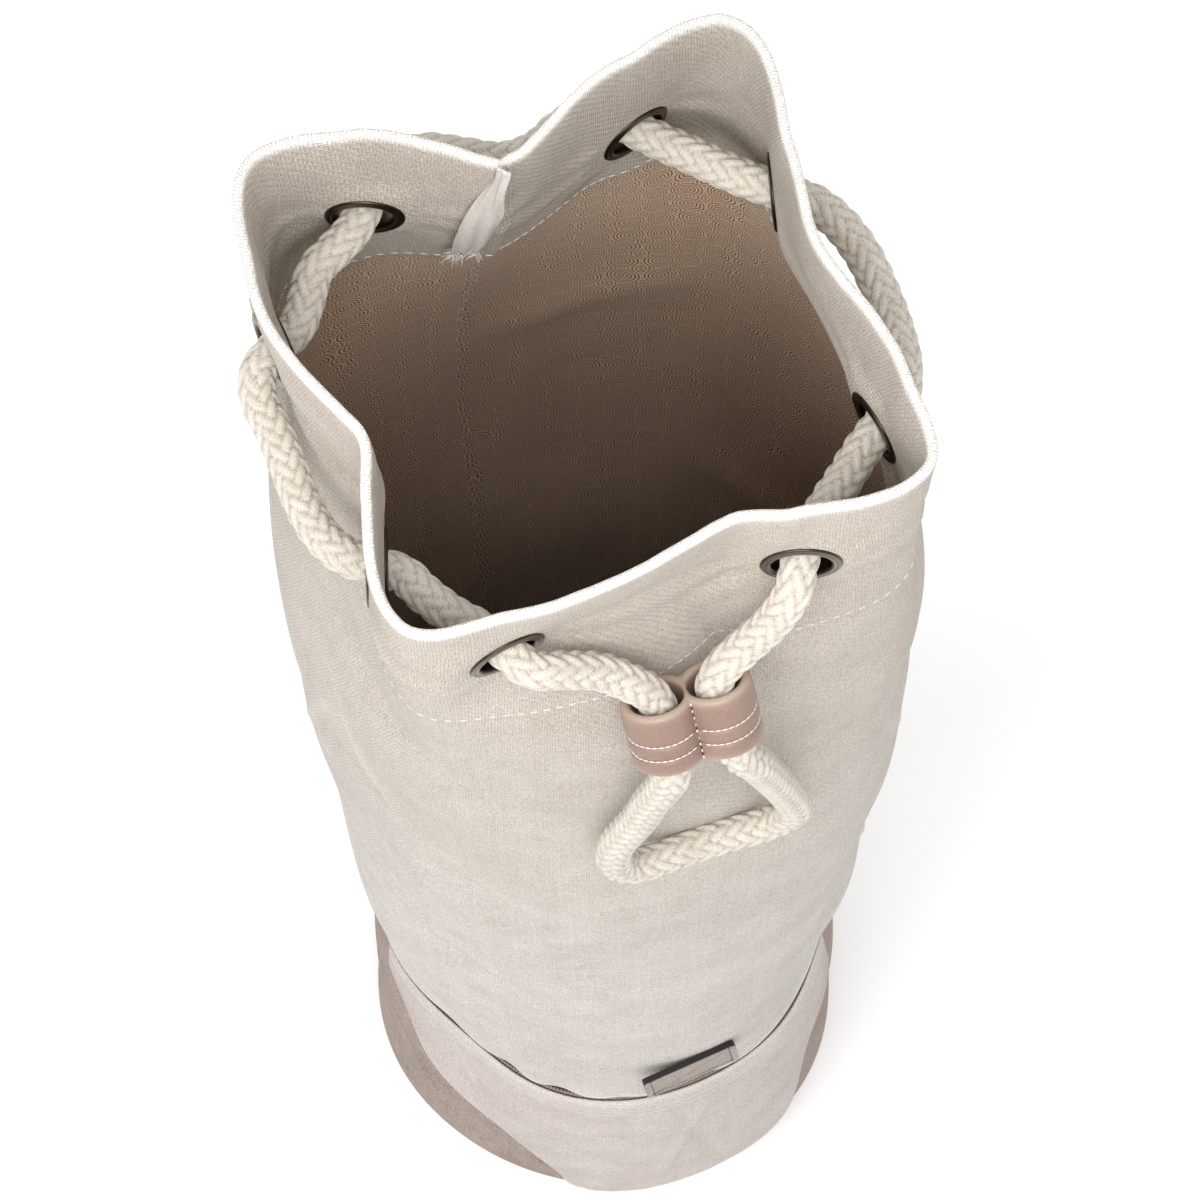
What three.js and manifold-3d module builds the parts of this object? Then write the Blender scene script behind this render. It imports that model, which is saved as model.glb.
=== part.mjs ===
// A tall drawstring bag for a rolled exercise mat: a canvas tube on an oval base, with a hemmed mouth that a
// cotton cord gathers into four lobes. Millimetres, +Z up, the origin at the middle of the underside, and
// the front, with the slider and the zip pocket, faces -Y.
import * as THREE from "three";
import { mergeVertices } from "three/addons/utils/BufferGeometryUtils.js";
import Module from "manifold-3d";

// Driving dimensions.
const BAG_HEIGHT = 650;
const HALF_WIDTH = 80;
const HALF_DEPTH = 72;
const CANVAS = 1;
const LINING_CLOTH = 0.8;
const BASE_CLOTH = 1.6;
const HEM_DEPTH = 70;
const HEM_POCKET = 9;
const BAND_HEIGHT = 152;
const BAND_LAP = 12;
const RIM_ROUND = 1.2;
const GAP = 0.3;

const EYELET_RADIUS = 6.5;
const EYELET_METAL = 0.7;
const EYELET_FLANGE = 1.8;
const EYELET_SEAT = 0.5;
const PRESS_DEPTH = 2;

const CORD_RADIUS = 4.1;

const SLIDER_LENGTH = 16.5;
const SLIDER_LEATHER = 2.4;
const SLIDER_PINCH = 10.5;
const SLIDER_PLAY = 1.9;
const SLIDER_PLACE = { x: 19.2, y: -69.9, z: 585 };
const SLIDER_TILT = { back: 37, left: 3, turned: 15 };

const ZIP_WIDTH = 3.4;
const ZIP_FROM = -168;
const ZIP_TO = -12;
const POCKET_CLOTH = 1.6;
const POCKET_SEAT = 0.7;
const POCKET_SWELL = 2.5;
const POCKET_ROWS = [0, 0.15, 0.4, 0.65, 0.88, 1];

const PLATE_WIDTH = 31;
const PLATE_HEIGHT = 14;
const PLATE_THICKNESS = 2.2;
const PLATE_CORNER = 1.2;
const PLATE_ABOVE_ZIP = 27;
const PLATE_TURN = -68.5;
const PLATE_SEAT = 1.3;
const PLATE_LEAN = 8;
const PLATE_TURNED = 4;
const PLATE_ROLL = 4;

const TAB_LENGTH = 52;
const TAB_CLOTH = 1.2;
const TAB_TURN = 121;
const TAB_SEAT = 1.3;

// How finely the cloth is divided: the turn between columns in degrees, and the least space between rows.
const COLUMN_STEP = 8;
const LEVEL_SPACE = 4;
const EYELET_SIDES = 14;
const SLIDER_SIDES = 14;
const CORD_SIDES = 10;
const CORD_STEP = 2.3;

// The tube's sections: how far up, how wide and how deep, as shares of the bag's height, half width and half
// depth, and how much of the mouth's gathering shows there.
const SECTIONS = [
  { up: 0, wide: 0.94, deep: 0.94, gathered: 0 },
  { up: 0.012, wide: 0.985, deep: 0.985, gathered: 0 },
  { up: 0.035, wide: 1, deep: 1, gathered: 0 },
  { up: 0.09, wide: 0.98, deep: 0.99, gathered: 0 },
  { up: 0.15, wide: 0.962, deep: 0.98, gathered: 0 },
  { up: 0.235, wide: 0.945, deep: 0.965, gathered: 0 },
  { up: 0.32, wide: 0.956, deep: 0.97, gathered: 0 },
  { up: 0.42, wide: 0.967, deep: 0.98, gathered: 0 },
  { up: 0.53, wide: 0.992, deep: 1, gathered: 0.01 },
  { up: 0.62, wide: 1.016, deep: 1.02, gathered: 0.04 },
  { up: 0.7, wide: 1.025, deep: 1.03, gathered: 0.09 },
  { up: 0.78, wide: 1.02, deep: 1.03, gathered: 0.2 },
  { up: 0.85, wide: 1, deep: 1.02, gathered: 0.42 },
  { up: 0.922, wide: 0.98, deep: 1.005, gathered: 0.82 },
  { up: 0.963, wide: 0.975, deep: 1, gathered: 0.96 },
  { up: 1, wide: 0.975, deep: 1, gathered: 1 },
];

// The gathered mouth, seen from above: the turn of each fold in degrees from +X, how far out its rim reaches
// as a share of the oval there, how much the cord tucks it in at the eyelets, and how far it lifts the rim
// as a share of the bag's height.
const MOUTH_FOLDS = [
  { name: "front left lobe", turn: -122, reach: 1.1, tuck: 0, lift: -0.006 },
  { name: "front left slope", turn: -107, reach: 1, tuck: 0.07, lift: -0.003 },
  { name: "front hollow", turn: -87, reach: 0.88, tuck: 0.1, lift: 0 },
  { name: "front kink", turn: -61, reach: 0.74, tuck: 0.03, lift: 0.002 },
  { name: "front right slope", turn: -48, reach: 0.83, tuck: 0.02, lift: 0.002 },
  { name: "right lobe", turn: -27, reach: 1, tuck: 0, lift: 0 },
  { name: "right slope", turn: -12, reach: 0.84, tuck: 0.03, lift: 0 },
  { name: "right valley", turn: 18, reach: 0.64, tuck: 0, lift: 0.002 },
  { name: "back right slope", turn: 44, reach: 0.75, tuck: 0, lift: 0.002 },
  { name: "back right lobe", turn: 68, reach: 1.04, tuck: 0, lift: 0 },
  { name: "back slope", turn: 87, reach: 0.83, tuck: -0.03, lift: 0 },
  { name: "back notch", turn: 120, reach: 0.59, tuck: -0.03, lift: -0.006 },
  { name: "back left slope", turn: 142, reach: 0.93, tuck: 0.05, lift: 0 },
  { name: "back left lobe", turn: 155, reach: 1.12, tuck: 0.02, lift: 0 },
  { name: "left slope", turn: 173, reach: 0.99, tuck: 0.02, lift: 0 },
  { name: "left valley", turn: 207, reach: 0.78, tuck: 0.01, lift: 0.002 },
  { name: "left return", turn: 219, reach: 0.87, tuck: 0, lift: 0 },
];

// Soft dents and swells of the tube: turn and spread in degrees, height and length as shares of the bag's
// height, depth as a share of the half width, and lean in degrees of turn for the whole length.
const DENTS = [
  { name: "left waist", turn: 221, spread: 30, up: 0.235, length: 0.09, depth: 0.085, lean: -6 },
  { name: "right waist", turn: -20, spread: 26, up: 0.25, length: 0.09, depth: 0.05, lean: 0 },
  { name: "left shoulder", turn: 215, spread: 16, up: 0.6, length: 0.12, depth: 0.03, lean: 20 },
  { name: "right shoulder", turn: -22, spread: 16, up: 0.74, length: 0.07, depth: 0.035, lean: -30 },
  { name: "front sag", turn: -62, spread: 14, up: 0.84, length: 0.08, depth: 0.04, lean: -10 },
  { name: "back sag", turn: 100, spread: 30, up: 0.5, length: 0.1, depth: 0.04, lean: 20 },
  { name: "back waist", turn: 60, spread: 24, up: 0.28, length: 0.08, depth: 0.03, lean: -15 },
];

// The eyelets, each on a slope between a lobe and a valley, in the order in which the cord meets them: the
// turn of each in degrees, how far it lies below the rim as a share of the hem's depth, and by how many
// degrees the pull of the cord turns the cloth there, counterclockwise from above.
const EYELETS = [
  { name: "eyelet_1", turn: -107, drop: 0.45, twist: 26 },
  { name: "eyelet_2", turn: -139.5, drop: 0.5, twist: -12 },
  { name: "eyelet_3", turn: -184.5, drop: 0.55, twist: 18 },
  { name: "eyelet_4", turn: -218.5, drop: 0.5, twist: -18 },
  { name: "eyelet_5", turn: -273.5, drop: 0.62, twist: 24 },
  { name: "eyelet_6", turn: -313, drop: 0.57, twist: -22 },
  { name: "eyelet_7", turn: -369, drop: 0.52, twist: 22 },
  { name: "eyelet_8", turn: -407.5, drop: 0.48, twist: -12 },
];

// Where up the bag the cord tucks the hem in most, and over what length, as shares of the bag's height.
const TUCK_UP = 0.94;
const TUCK_LENGTH = 0.05;

// How far the cloth's turning at an eyelet reaches, as a share of the half width, and half the turn and half
// the height that an eyelet's flat seat takes up.
const PUCKER_REACH = 0.15;
const SEAT_TURN = 7;
const SEAT_RISE = 10;

// The front pocket's panel: how far up its lower edge lies at each turn, as a share of the band's height.
const POCKET_EDGE = [
  { turn: -165, low: 0.9 },
  { turn: -154, low: 0.8 },
  { turn: -143, low: 0.66 },
  { turn: -119, low: 0.52 },
  { turn: -107, low: 0.35 },
  { turn: -95, low: 0.1 },
  { turn: -80, low: 0.05 },
  { turn: -50, low: 0.05 },
  { turn: -38, low: 0.14 },
  { turn: -28, low: 0.42 },
  { turn: -20, low: 0.62 },
  { turn: -12, low: 0.85 },
];

// The drawcord's route, which keeps its chosen points: up out of the slider's left barrel, round the mouth
// through the eyelets, down the right barrel, round the hanging loop and back up into the left barrel.
const CORD_ROUTE = [
  [13, -71.8, 584.7], [12, -69.2, 588.4], [10, -67, 593], [5.2, -66.1, 599], [-1.5, -65.6, 605.5],
  [-9.6, -67.2, 611.6], [-16, -68, 615.1], [-21.7, -63.9, 616.6], [-26.6, -60, 616.8],
  [-33, -56.2, 616.4], [-39.6, -50.8, 615.7], [-43.5, -46.8, 615], [-49.8, -44.4, 614.3],
  [-56.2, -42, 613.6], [-61.8, -36.6, 612.4], [-66, -29, 611.2], [-69.3, -20.5, 610.4],
  [-72.6, -12, 610], [-76, -5, 610.4], [-76.4, 1.6, 611.2], [-72.4, 7.3, 611.6], [-68.2, 12.1, 611.6],
  [-66.1, 17.9, 612.9], [-64.2, 24, 615], [-59.6, 29.2, 615.6], [-56, 33.8, 615.1],
  [-53.4, 39.9, 614.4], [-51.6, 46.2, 613.5], [-46.6, 52, 612.2], [-39.8, 54.8, 610.6],
  [-31.4, 54.4, 609], [-23.4, 54, 607.5], [-16, 57, 606.4], [-10.2, 62.6, 605.9], [-4.4, 66.2, 605.9],
  [1, 65.8, 606.1], [6.2, 62.6, 606.3], [12.2, 59.3, 606.7], [20, 54.9, 608], [26, 51.3, 609.3],
  [32.1, 48, 610.4], [39.5, 45, 610.9], [46.8, 42, 611], [52.6, 37.2, 610.4], [57.8, 29.8, 609.6],
  [61.8, 20.3, 609.3], [64.6, 11, 610.2], [65.8, 3, 611.8], [65, -4.1, 613.2], [60.4, -11.6, 613.6],
  [56, -17.9, 613.9], [52.2, -24.4, 614.5], [48.4, -30.6, 615.5], [45, -37, 616.8], [42.2, -43.6, 617.5],
  [40.7, -50.3, 615.2], [36.8, -54.3, 607], [31.2, -58, 600.8], [25.8, -62, 596.4], [24.1, -64.8, 591],
  [25.5, -68.2, 585], [26.9, -71.9, 579.7], [29.6, -74.4, 572.6], [33.6, -73.8, 562], [36.8, -71.3, 545],
  [41.1, -69.1, 525], [44.5, -66.8, 505], [45.6, -66.6, 498], [44.9, -66.4, 490.5], [41.4, -67, 486],
  [36.3, -68.5, 484.8], [30.5, -70.1, 484.8], [23.6, -72.6, 485.6], [16.3, -75.5, 486.2], [10, -78, 487],
  [5.1, -79.5, 490], [2.2, -79.9, 498.5], [2.8, -79.5, 511], [5.6, -79, 522], [8.4, -78.8, 534],
  [10.5, -78.8, 547], [13.5, -79, 561], [15.2, -78.4, 571], [14.3, -75.1, 579.2],
];

const rad = THREE.MathUtils.degToRad;
const mix = THREE.MathUtils.lerp;

// A smooth value between the rows of a table, by one of its columns. A round table closes on itself at 360.
function between(rows, key, value, column, round = false) {
  const count = rows.length;
  const at = (i) => {
    const row = rows[((i % count) + count) % count];
    return { x: row[key] + (round ? 360 * Math.floor(i / count) : 0), y: row[column] };
  };
  const inside = (i) => (round ? i : THREE.MathUtils.clamp(i, 0, count - 1));
  let i = 0;
  while (at(i + 1).x < value && (round || i < count - 2)) i += 1;
  const [p0, p1, p2, p3] = [at(inside(i - 1)), at(i), at(i + 1), at(inside(i + 2))];
  const span = p2.x - p1.x;
  const m1 = p2.x > p0.x ? ((p2.y - p0.y) / (p2.x - p0.x)) * span : 0;
  const m2 = p3.x > p1.x ? ((p3.y - p1.y) / (p3.x - p1.x)) * span : 0;
  const t = THREE.MathUtils.clamp((value - p1.x) / span, 0, 1);
  const [t2, t3] = [t * t, t * t * t];
  return (2 * t3 - 3 * t2 + 1) * p1.y + (t3 - 2 * t2 + t) * m1 + (3 * t2 - 2 * t3) * p2.y + (t3 - t2) * m2;
}

function section(up) {
  const value = (column) => between(SECTIONS, "up", up, column);
  return { wide: HALF_WIDTH * value("wide"), deep: HALF_DEPTH * value("deep"), gathered: value("gathered") };
}

function mouthFold(turn, column) {
  const first = MOUTH_FOLDS[0].turn;
  const wrapped = ((((turn - first) % 360) + 360) % 360) + first;
  return between(MOUTH_FOLDS, "turn", wrapped, column, true);
}

// The turn from one place round the bag to another, the short way, in degrees.
function turnFrom(here, there) {
  return ((((there - here + 180) % 360) + 360) % 360) - 180;
}

function dentShare(turn, up) {
  return DENTS.reduce((sum, dent) => {
    const rise = (up - dent.up) / dent.length;
    const middle = dent.turn + dent.lean * rise;
    const off = turnFrom(middle, turn);
    return sum + dent.depth * Math.exp(-((off / dent.spread) ** 2) - rise * rise);
  }, 0);
}

// How far out the cord's pull moves the cloth: out on one side of an eyelet and in on the other.
function pucker(turn, height, r) {
  return EYELETS.reduce((sum, eyelet) => {
    const arc = rad(turnFrom(eyelet.turn, turn)) * r;
    const rise = height - (BAG_HEIGHT - eyelet.drop * HEM_DEPTH);
    const fade = Math.exp(-(arc * arc + rise * rise) / (PUCKER_REACH * HALF_WIDTH) ** 2);
    return sum - Math.tan(rad(eyelet.twist)) * arc * fade;
  }, 0);
}

// A point of the bag's outer face. Height is along the cloth's rise, from 0 at the floor to the bag's height.
function outerPoint(turn, height) {
  const up = height / BAG_HEIGHT;
  const { wide, deep, gathered } = section(up);
  const [c, s] = [Math.cos(rad(turn)), Math.sin(rad(turn))];
  const oval = (wide * deep) / Math.hypot(deep * c, wide * s);
  const tucked = mouthFold(turn, "tuck") * Math.exp(-(((up - TUCK_UP) / TUCK_LENGTH) ** 2));
  const reach = mix(1, mouthFold(turn, "reach"), gathered) - tucked;
  const plain = oval * reach - HALF_WIDTH * dentShare(turn, up);
  const r = plain + pucker(turn, height, plain);
  const lift = mouthFold(turn, "lift") * BAG_HEIGHT * gathered;
  return new THREE.Vector3(r * c, r * s, height + lift);
}

// An eyelet's flat seat: the middle of the cloth's outer face there, and the way out of it.
function seat(eyelet) {
  const height = BAG_HEIGHT - eyelet.drop * HEM_DEPTH;
  const [from, to] = [eyelet.turn - SEAT_TURN, eyelet.turn + SEAT_TURN];
  const [left, right] = [outerPoint(from, height), outerPoint(to, height)];
  const middle = left.clone().lerp(right, 0.5);
  const [low, high] = [height - SEAT_RISE, height + SEAT_RISE].map((level) =>
    outerPoint(from, level).lerp(outerPoint(to, level), 0.5),
  );
  const normal = right.sub(left).cross(high.sub(low)).normalize();
  return { middle, normal };
}

// A point that lies that deep in the cloth, measured level, so that rows stay at their height.
function clothPoint(turn, height, depth) {
  const dt = 1;
  const along = outerPoint(turn + dt, height).sub(outerPoint(turn - dt, height));
  const level = new THREE.Vector3(along.y, -along.x, 0).normalize();
  return outerPoint(turn, height).addScaledVector(level, -depth);
}

// A closed body from a grid of points, whose rows go up its outside first. Rows, columns or both close on
// themselves, and what doesn't is capped. Every face is split the same way in space, so that layers fit.
function solidFromGrid(grid, { roundRows, roundColumns }) {
  const [rows, columns] = [grid.length, grid[0].length];
  const position = grid.flat().flatMap((p) => [p.x, p.y, p.z]);
  const index = [];
  const at = (i, j) => (i % rows) * columns + (j % columns);
  for (let i = 0; i < (roundRows ? rows : rows - 1); i += 1) {
    const goesDown = grid[(i + 1) % rows][0].z < grid[i][0].z;
    for (let j = 0; j < (roundColumns ? columns : columns - 1); j += 1) {
      const [a, b, c, d] = [at(i, j), at(i, j + 1), at(i + 1, j + 1), at(i + 1, j)];
      index.push(...(goesDown ? [a, b, d, b, c, d] : [a, b, c, a, c, d]));
    }
  }
  for (let i = 1; !roundColumns && i < rows - 1; i += 1) {
    index.push(at(0, 0), at(i, 0), at(i + 1, 0));
    index.push(at(0, columns - 1), at(i + 1, columns - 1), at(i, columns - 1));
  }
  for (let j = 1; !roundRows && j < columns - 1; j += 1) {
    index.push(at(0, 0), at(0, j + 1), at(0, j));
    index.push(at(rows - 1, 0), at(rows - 1, j), at(rows - 1, j + 1));
  }
  const geometry = new THREE.BufferGeometry();
  geometry.setAttribute("position", new THREE.Float32BufferAttribute(position, 3));
  geometry.setIndex(index);
  return geometry;
}

// The turns of the cloth's columns, in rising order: two at each eyelet's seat and even ones between them.
const COLUMN_TURNS = EYELETS.toReversed().flatMap((eyelet, i, order) => {
  const next = i + 1 < order.length ? order[i + 1].turn : order[0].turn + 360;
  const [from, to] = [eyelet.turn + SEAT_TURN, next - SEAT_TURN];
  const steps = Math.max(1, Math.round((to - from) / COLUMN_STEP));
  return Array.from({ length: steps + 1 }, (_, k) => mix(from, to, k / steps));
});

// The columns from one turn to another, the front's among them, which lies across the list's ends.
function columnsBetween(from, to) {
  const twice = [...COLUMN_TURNS, ...COLUMN_TURNS.map((turn) => turn + 360)];
  return twice.filter((turn) => turn > from && turn < to);
}

// The heights at which layers meet, and with the sections between them the rows that all the layers share.
const FLOOR_TOP = BASE_CLOTH + GAP;
const LAP_TOP = BAND_HEIGHT + BAND_LAP;
const HEM_FOOT = BAG_HEIGHT - HEM_DEPTH;
const SEAMS = [0, FLOOR_TOP, BAND_HEIGHT, LAP_TOP, HEM_FOOT, HEM_FOOT + HEM_POCKET, BAG_HEIGHT];
const LEVELS = SECTIONS.map((row) => row.up * BAG_HEIGHT)
  .filter((level) => SEAMS.every((seam) => Math.abs(level - seam) > LEVEL_SPACE))
  .concat(SEAMS)
  .sort((a, b) => a - b);

// The rows of one face of a layer: its two ends and the shared levels between them, all at one depth.
function face(from, to, depth) {
  const levels = LEVELS.filter((level) => level > from && level < to);
  return [from, ...levels, to].map((height) => ({ height, depth }));
}

function clothGrid(profile, turns = COLUMN_TURNS) {
  return profile.map(({ height, depth }) =>
    turns.map((turn) => clothPoint(turn, typeof height === "function" ? height(turn) : height, depth)),
  );
}

const wasm = await Module();
wasm.setup();

function toSolid(geometry) {
  const bare = geometry.clone();
  bare.deleteAttribute("normal");
  bare.deleteAttribute("uv");
  const merged = mergeVertices(bare, 1e-4);
  return new wasm.Manifold(
    new wasm.Mesh({
      numProp: 3,
      vertProperties: merged.attributes.position.array,
      triVerts: new Uint32Array(merged.index.array),
    }),
  );
}

function toGeometry(solid) {
  const { vertProperties, triVerts } = solid.getMesh();
  const geometry = new THREE.BufferGeometry();
  geometry.setAttribute("position", new THREE.Float32BufferAttribute(vertProperties, 3));
  geometry.setIndex(Array.from(triVerts));
  return geometry;
}

const COLOURS = {
  canvas: { color: 0xd6cdbf, roughness: 0.9, metalness: 0 },
  print: { color: 0xa89684, roughness: 0.9, metalness: 0 },
  base: { color: 0xa8958a, roughness: 0.9, metalness: 0 },
  pocket: { color: 0xc9b7ab, roughness: 0.9, metalness: 0 },
  zip: { color: 0x85705f, roughness: 0.6, metalness: 0 },
  leather: { color: 0xa08476, roughness: 0.55, metalness: 0 },
  cotton: { color: 0xeee6d6, roughness: 0.95, metalness: 0 },
  gunmetal: { color: 0x4a4541, roughness: 0.35, metalness: 1 },
};

const bag = new THREE.Group();

function add(name, finish, geometry) {
  const mesh = new THREE.Mesh(geometry, new THREE.MeshStandardMaterial(COLOURS[finish]));
  mesh.name = name;
  bag.add(mesh);
  return mesh;
}

const ringOf = (profile) => solidFromGrid(clothGrid(profile), { roundRows: true, roundColumns: true });
const stripOf = (profile, turns) =>
  solidFromGrid(clothGrid(profile, turns), { roundRows: true, roundColumns: false });
const cupOf = (profile) => solidFromGrid(clothGrid(profile), { roundRows: false, roundColumns: true });

// Where the layers lie in the wall, as depths from its outer face.
const LAP_DEPTH = CANVAS + GAP;
const BAND_INSIDE = LAP_DEPTH + BASE_CLOTH;
const LINING_LOW = BAND_INSIDE + GAP;
const LINING_HIGH = CANVAS + GAP;
const HEM_FOLD = LINING_HIGH + LINING_CLOTH + GAP;
const HEM_THICKNESS = HEM_FOLD + CANVAS;

// The body's lower edge, which stands above the zip where there is one.
const zipTurns = columnsBetween(ZIP_FROM, ZIP_TO);
const bodyFoot = (turn) => {
  const alongZip = zipTurns.includes(turn) || zipTurns.includes(turn + 360);
  return BAND_HEIGHT + GAP + (alongZip ? ZIP_WIDTH + GAP : 0);
};

// The body: one wall of canvas, turned in at the mouth over a pocket for the lining's edge.
function bodyTube() {
  const hemTop = HEM_FOOT + HEM_POCKET;
  return ringOf([
    { height: bodyFoot, depth: 0 },
    ...face(LAP_TOP, BAG_HEIGHT - RIM_ROUND, 0),
    { height: BAG_HEIGHT, depth: HEM_THICKNESS / 2 },
    ...face(HEM_FOOT, BAG_HEIGHT - RIM_ROUND, HEM_THICKNESS).reverse(),
    { height: HEM_FOOT, depth: HEM_FOLD },
    { height: hemTop, depth: HEM_FOLD },
    ...face(LAP_TOP, hemTop, CANVAS).reverse(),
    { height: bodyFoot, depth: CANVAS },
  ]);
}

// An eyelet's turned metal, about its own axis: a barrel through the hem with a flange on either side.
function eyeletMetal() {
  const reach = HEM_THICKNESS / 2 + EYELET_SEAT;
  const flange = EYELET_RADIUS + EYELET_METAL + EYELET_FLANGE;
  const profile = [
    [EYELET_RADIUS, -reach - EYELET_METAL],
    [flange, -reach - EYELET_METAL],
    [flange, -reach],
    [EYELET_RADIUS + EYELET_METAL, -reach],
    [EYELET_RADIUS + EYELET_METAL, reach],
    [flange, reach],
    [flange, reach + EYELET_METAL],
    [EYELET_RADIUS, reach + EYELET_METAL],
    [EYELET_RADIUS, -reach - EYELET_METAL],
  ];
  return new THREE.LatheGeometry(
    profile.map(([x, y]) => new THREE.Vector2(x, y)),
    EYELET_SIDES,
  );
}

function atSeat(object, eyelet) {
  const { middle, normal } = seat(eyelet);
  object.position.copy(middle).addScaledVector(normal, -HEM_THICKNESS / 2);
  object.quaternion.setFromUnitVectors(new THREE.Vector3(0, 1, 0), normal);
  object.updateMatrix();
  return object;
}

// The eyelet holes, with the cloth pressed flat under each flange.
function punched(tube) {
  const hole = EYELET_RADIUS + EYELET_METAL + GAP;
  const press = hole + EYELET_FLANGE;
  const reach = HEM_THICKNESS / 2 + EYELET_SEAT - GAP;
  const deep = PRESS_DEPTH * HEM_THICKNESS;
  const tools = [
    new THREE.CylinderGeometry(hole, hole, 2 * deep, EYELET_SIDES),
    new THREE.CylinderGeometry(press, press, deep, EYELET_SIDES).translate(0, reach + deep / 2, 0),
    new THREE.CylinderGeometry(press, press, deep, EYELET_SIDES).translate(0, -reach - deep / 2, 0),
  ];
  return EYELETS.reduce((solid, eyelet) => {
    const { matrix } = atSeat(new THREE.Object3D(), eyelet);
    return tools.reduce((rest, tool) => rest.subtract(toSolid(tool.clone().applyMatrix4(matrix))), solid);
  }, tube);
}

add("body", "canvas", toGeometry(punched(toSolid(bodyTube()))));
for (const eyelet of EYELETS) {
  atSeat(add(eyelet.name, "gunmetal", eyeletMetal()), eyelet);
}

// The lining: a cup whose upper edge stands in the hem's pocket.
const liningTop = HEM_FOOT + HEM_POCKET - GAP;
const aboveLap = LEVELS.find((level) => level > LAP_TOP);
const liningFace = (floor, inwards) => [
  ...face(floor, LAP_TOP, LINING_LOW + inwards),
  ...face(aboveLap, liningTop, LINING_HIGH + inwards),
];
add("lining", "print", cupOf([
  ...liningFace(FLOOR_TOP, 0),
  ...liningFace(FLOOR_TOP + LINING_CLOTH, LINING_CLOTH).reverse(),
]));

// The band round the foot, with a tongue that goes up inside the body.
add("base_band", "base", ringOf([
  ...face(0, BAND_HEIGHT, 0),
  { height: BAND_HEIGHT, depth: LAP_DEPTH },
  { height: LAP_TOP, depth: LAP_DEPTH },
  ...face(0, LAP_TOP, BAND_INSIDE).reverse(),
]));
add("base_disc", "base", cupOf([
  { height: 0, depth: LINING_LOW },
  { height: BASE_CLOTH, depth: LINING_LOW },
]));

// The zip, in the slot between the band and the body's edge.
add("zip", "zip", stripOf([
  { height: BAND_HEIGHT + GAP, depth: 0 },
  { height: BAND_HEIGHT + GAP + ZIP_WIDTH, depth: 0 },
  { height: BAND_HEIGHT + GAP + ZIP_WIDTH, depth: CANVAS },
  { height: BAND_HEIGHT + GAP, depth: CANVAS },
], zipTurns));

// The pocket's panel, which lies on the band and swells a little away from it.
function pocketPanel() {
  const turns = columnsBetween(POCKET_EDGE[0].turn, POCKET_EDGE.at(-1).turn);
  const row = (share, cloth) =>
    turns.map((turn, i) => {
      const low = BAND_HEIGHT * between(POCKET_EDGE, "turn", turn, "low");
      const across = Math.sin((Math.PI * i) / (turns.length - 1));
      const swell = POCKET_SWELL * across * Math.sqrt(Math.sin(Math.PI * share));
      return clothPoint(turn, mix(low, BAND_HEIGHT, share), -(POCKET_SEAT + swell + cloth));
    });
  const outer = POCKET_ROWS.map((share) => row(share, POCKET_CLOTH));
  const inner = POCKET_ROWS.toReversed().map((share) => row(share, 0));
  return solidFromGrid([...outer, ...inner], { roundRows: true, roundColumns: false });
}
add("pocket_panel", "pocket", pocketPanel());

function roundedBar(width, height, radius) {
  const [x, y] = [width / 2 - radius, height / 2 - radius];
  const shape = new THREE.Shape();
  shape.absarc(x, y, radius, 0, Math.PI / 2, false);
  shape.absarc(-x, y, radius, Math.PI / 2, Math.PI, false);
  shape.absarc(-x, -y, radius, Math.PI, 1.5 * Math.PI, false);
  shape.absarc(x, -y, radius, 1.5 * Math.PI, 2 * Math.PI, false);
  return shape;
}

// The small plate on the body above the zip. It leans back and lies a little askew, as the cloth under it.
function plate() {
  const height = BAND_HEIGHT + 2 * GAP + ZIP_WIDTH + PLATE_ABOVE_ZIP + PLATE_HEIGHT / 2;
  const geometry = new THREE.ExtrudeGeometry(roundedBar(PLATE_WIDTH, PLATE_HEIGHT, PLATE_CORNER), {
    depth: PLATE_THICKNESS,
    bevelEnabled: false,
    curveSegments: 3,
  });
  const mesh = add("plate", "gunmetal", geometry);
  const facing = clothPoint(PLATE_TURN, height, 0).sub(clothPoint(PLATE_TURN, height, 1)).normalize();
  mesh.up.set(0, 0, 1);
  mesh.position.copy(clothPoint(PLATE_TURN, height, -PLATE_SEAT));
  mesh.lookAt(mesh.position.clone().add(facing));
  mesh.rotateY(rad(PLATE_TURNED));
  mesh.rotateX(rad(-PLATE_LEAN));
  mesh.rotateZ(rad(PLATE_ROLL));
  return mesh;
}
plate();

// The strip at the back seam, which hangs down inside the hem from the rim.
const tabEdge = COLUMN_TURNS.findIndex((turn) => turn + 360 > TAB_TURN);
const tabTop = BAG_HEIGHT - RIM_ROUND;
add("seam_tab", "cotton", stripOf([
  ...face(tabTop - TAB_LENGTH, tabTop, HEM_THICKNESS + TAB_SEAT),
  ...face(tabTop - TAB_LENGTH, tabTop, HEM_THICKNESS + TAB_SEAT + TAB_CLOTH).reverse(),
], COLUMN_TURNS.slice(tabEdge - 1, tabEdge + 1)));

// The slider: two leather barrels side by side, pinched together by the seam between them.
function sliderSleeve() {
  const bore = CORD_RADIUS + SLIDER_PLAY;
  const radius = bore + SLIDER_LEATHER;
  const meet = Math.asin(SLIDER_PINCH / 2 / radius);
  const middle = radius * Math.cos(meet);
  const shape = new THREE.Shape();
  shape.absarc(-middle, 0, radius, meet, 2 * Math.PI - meet, false);
  shape.absarc(middle, 0, radius, meet - Math.PI, Math.PI - meet, false);
  for (const side of [-middle, middle]) {
    shape.holes.push(new THREE.Path().absarc(side, 0, bore, 0, 2 * Math.PI, true));
  }
  const geometry = new THREE.ExtrudeGeometry(shape, {
    depth: SLIDER_LENGTH,
    bevelEnabled: false,
    curveSegments: SLIDER_SIDES / 2,
  });
  return geometry.translate(0, 0, -SLIDER_LENGTH / 2);
}
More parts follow.
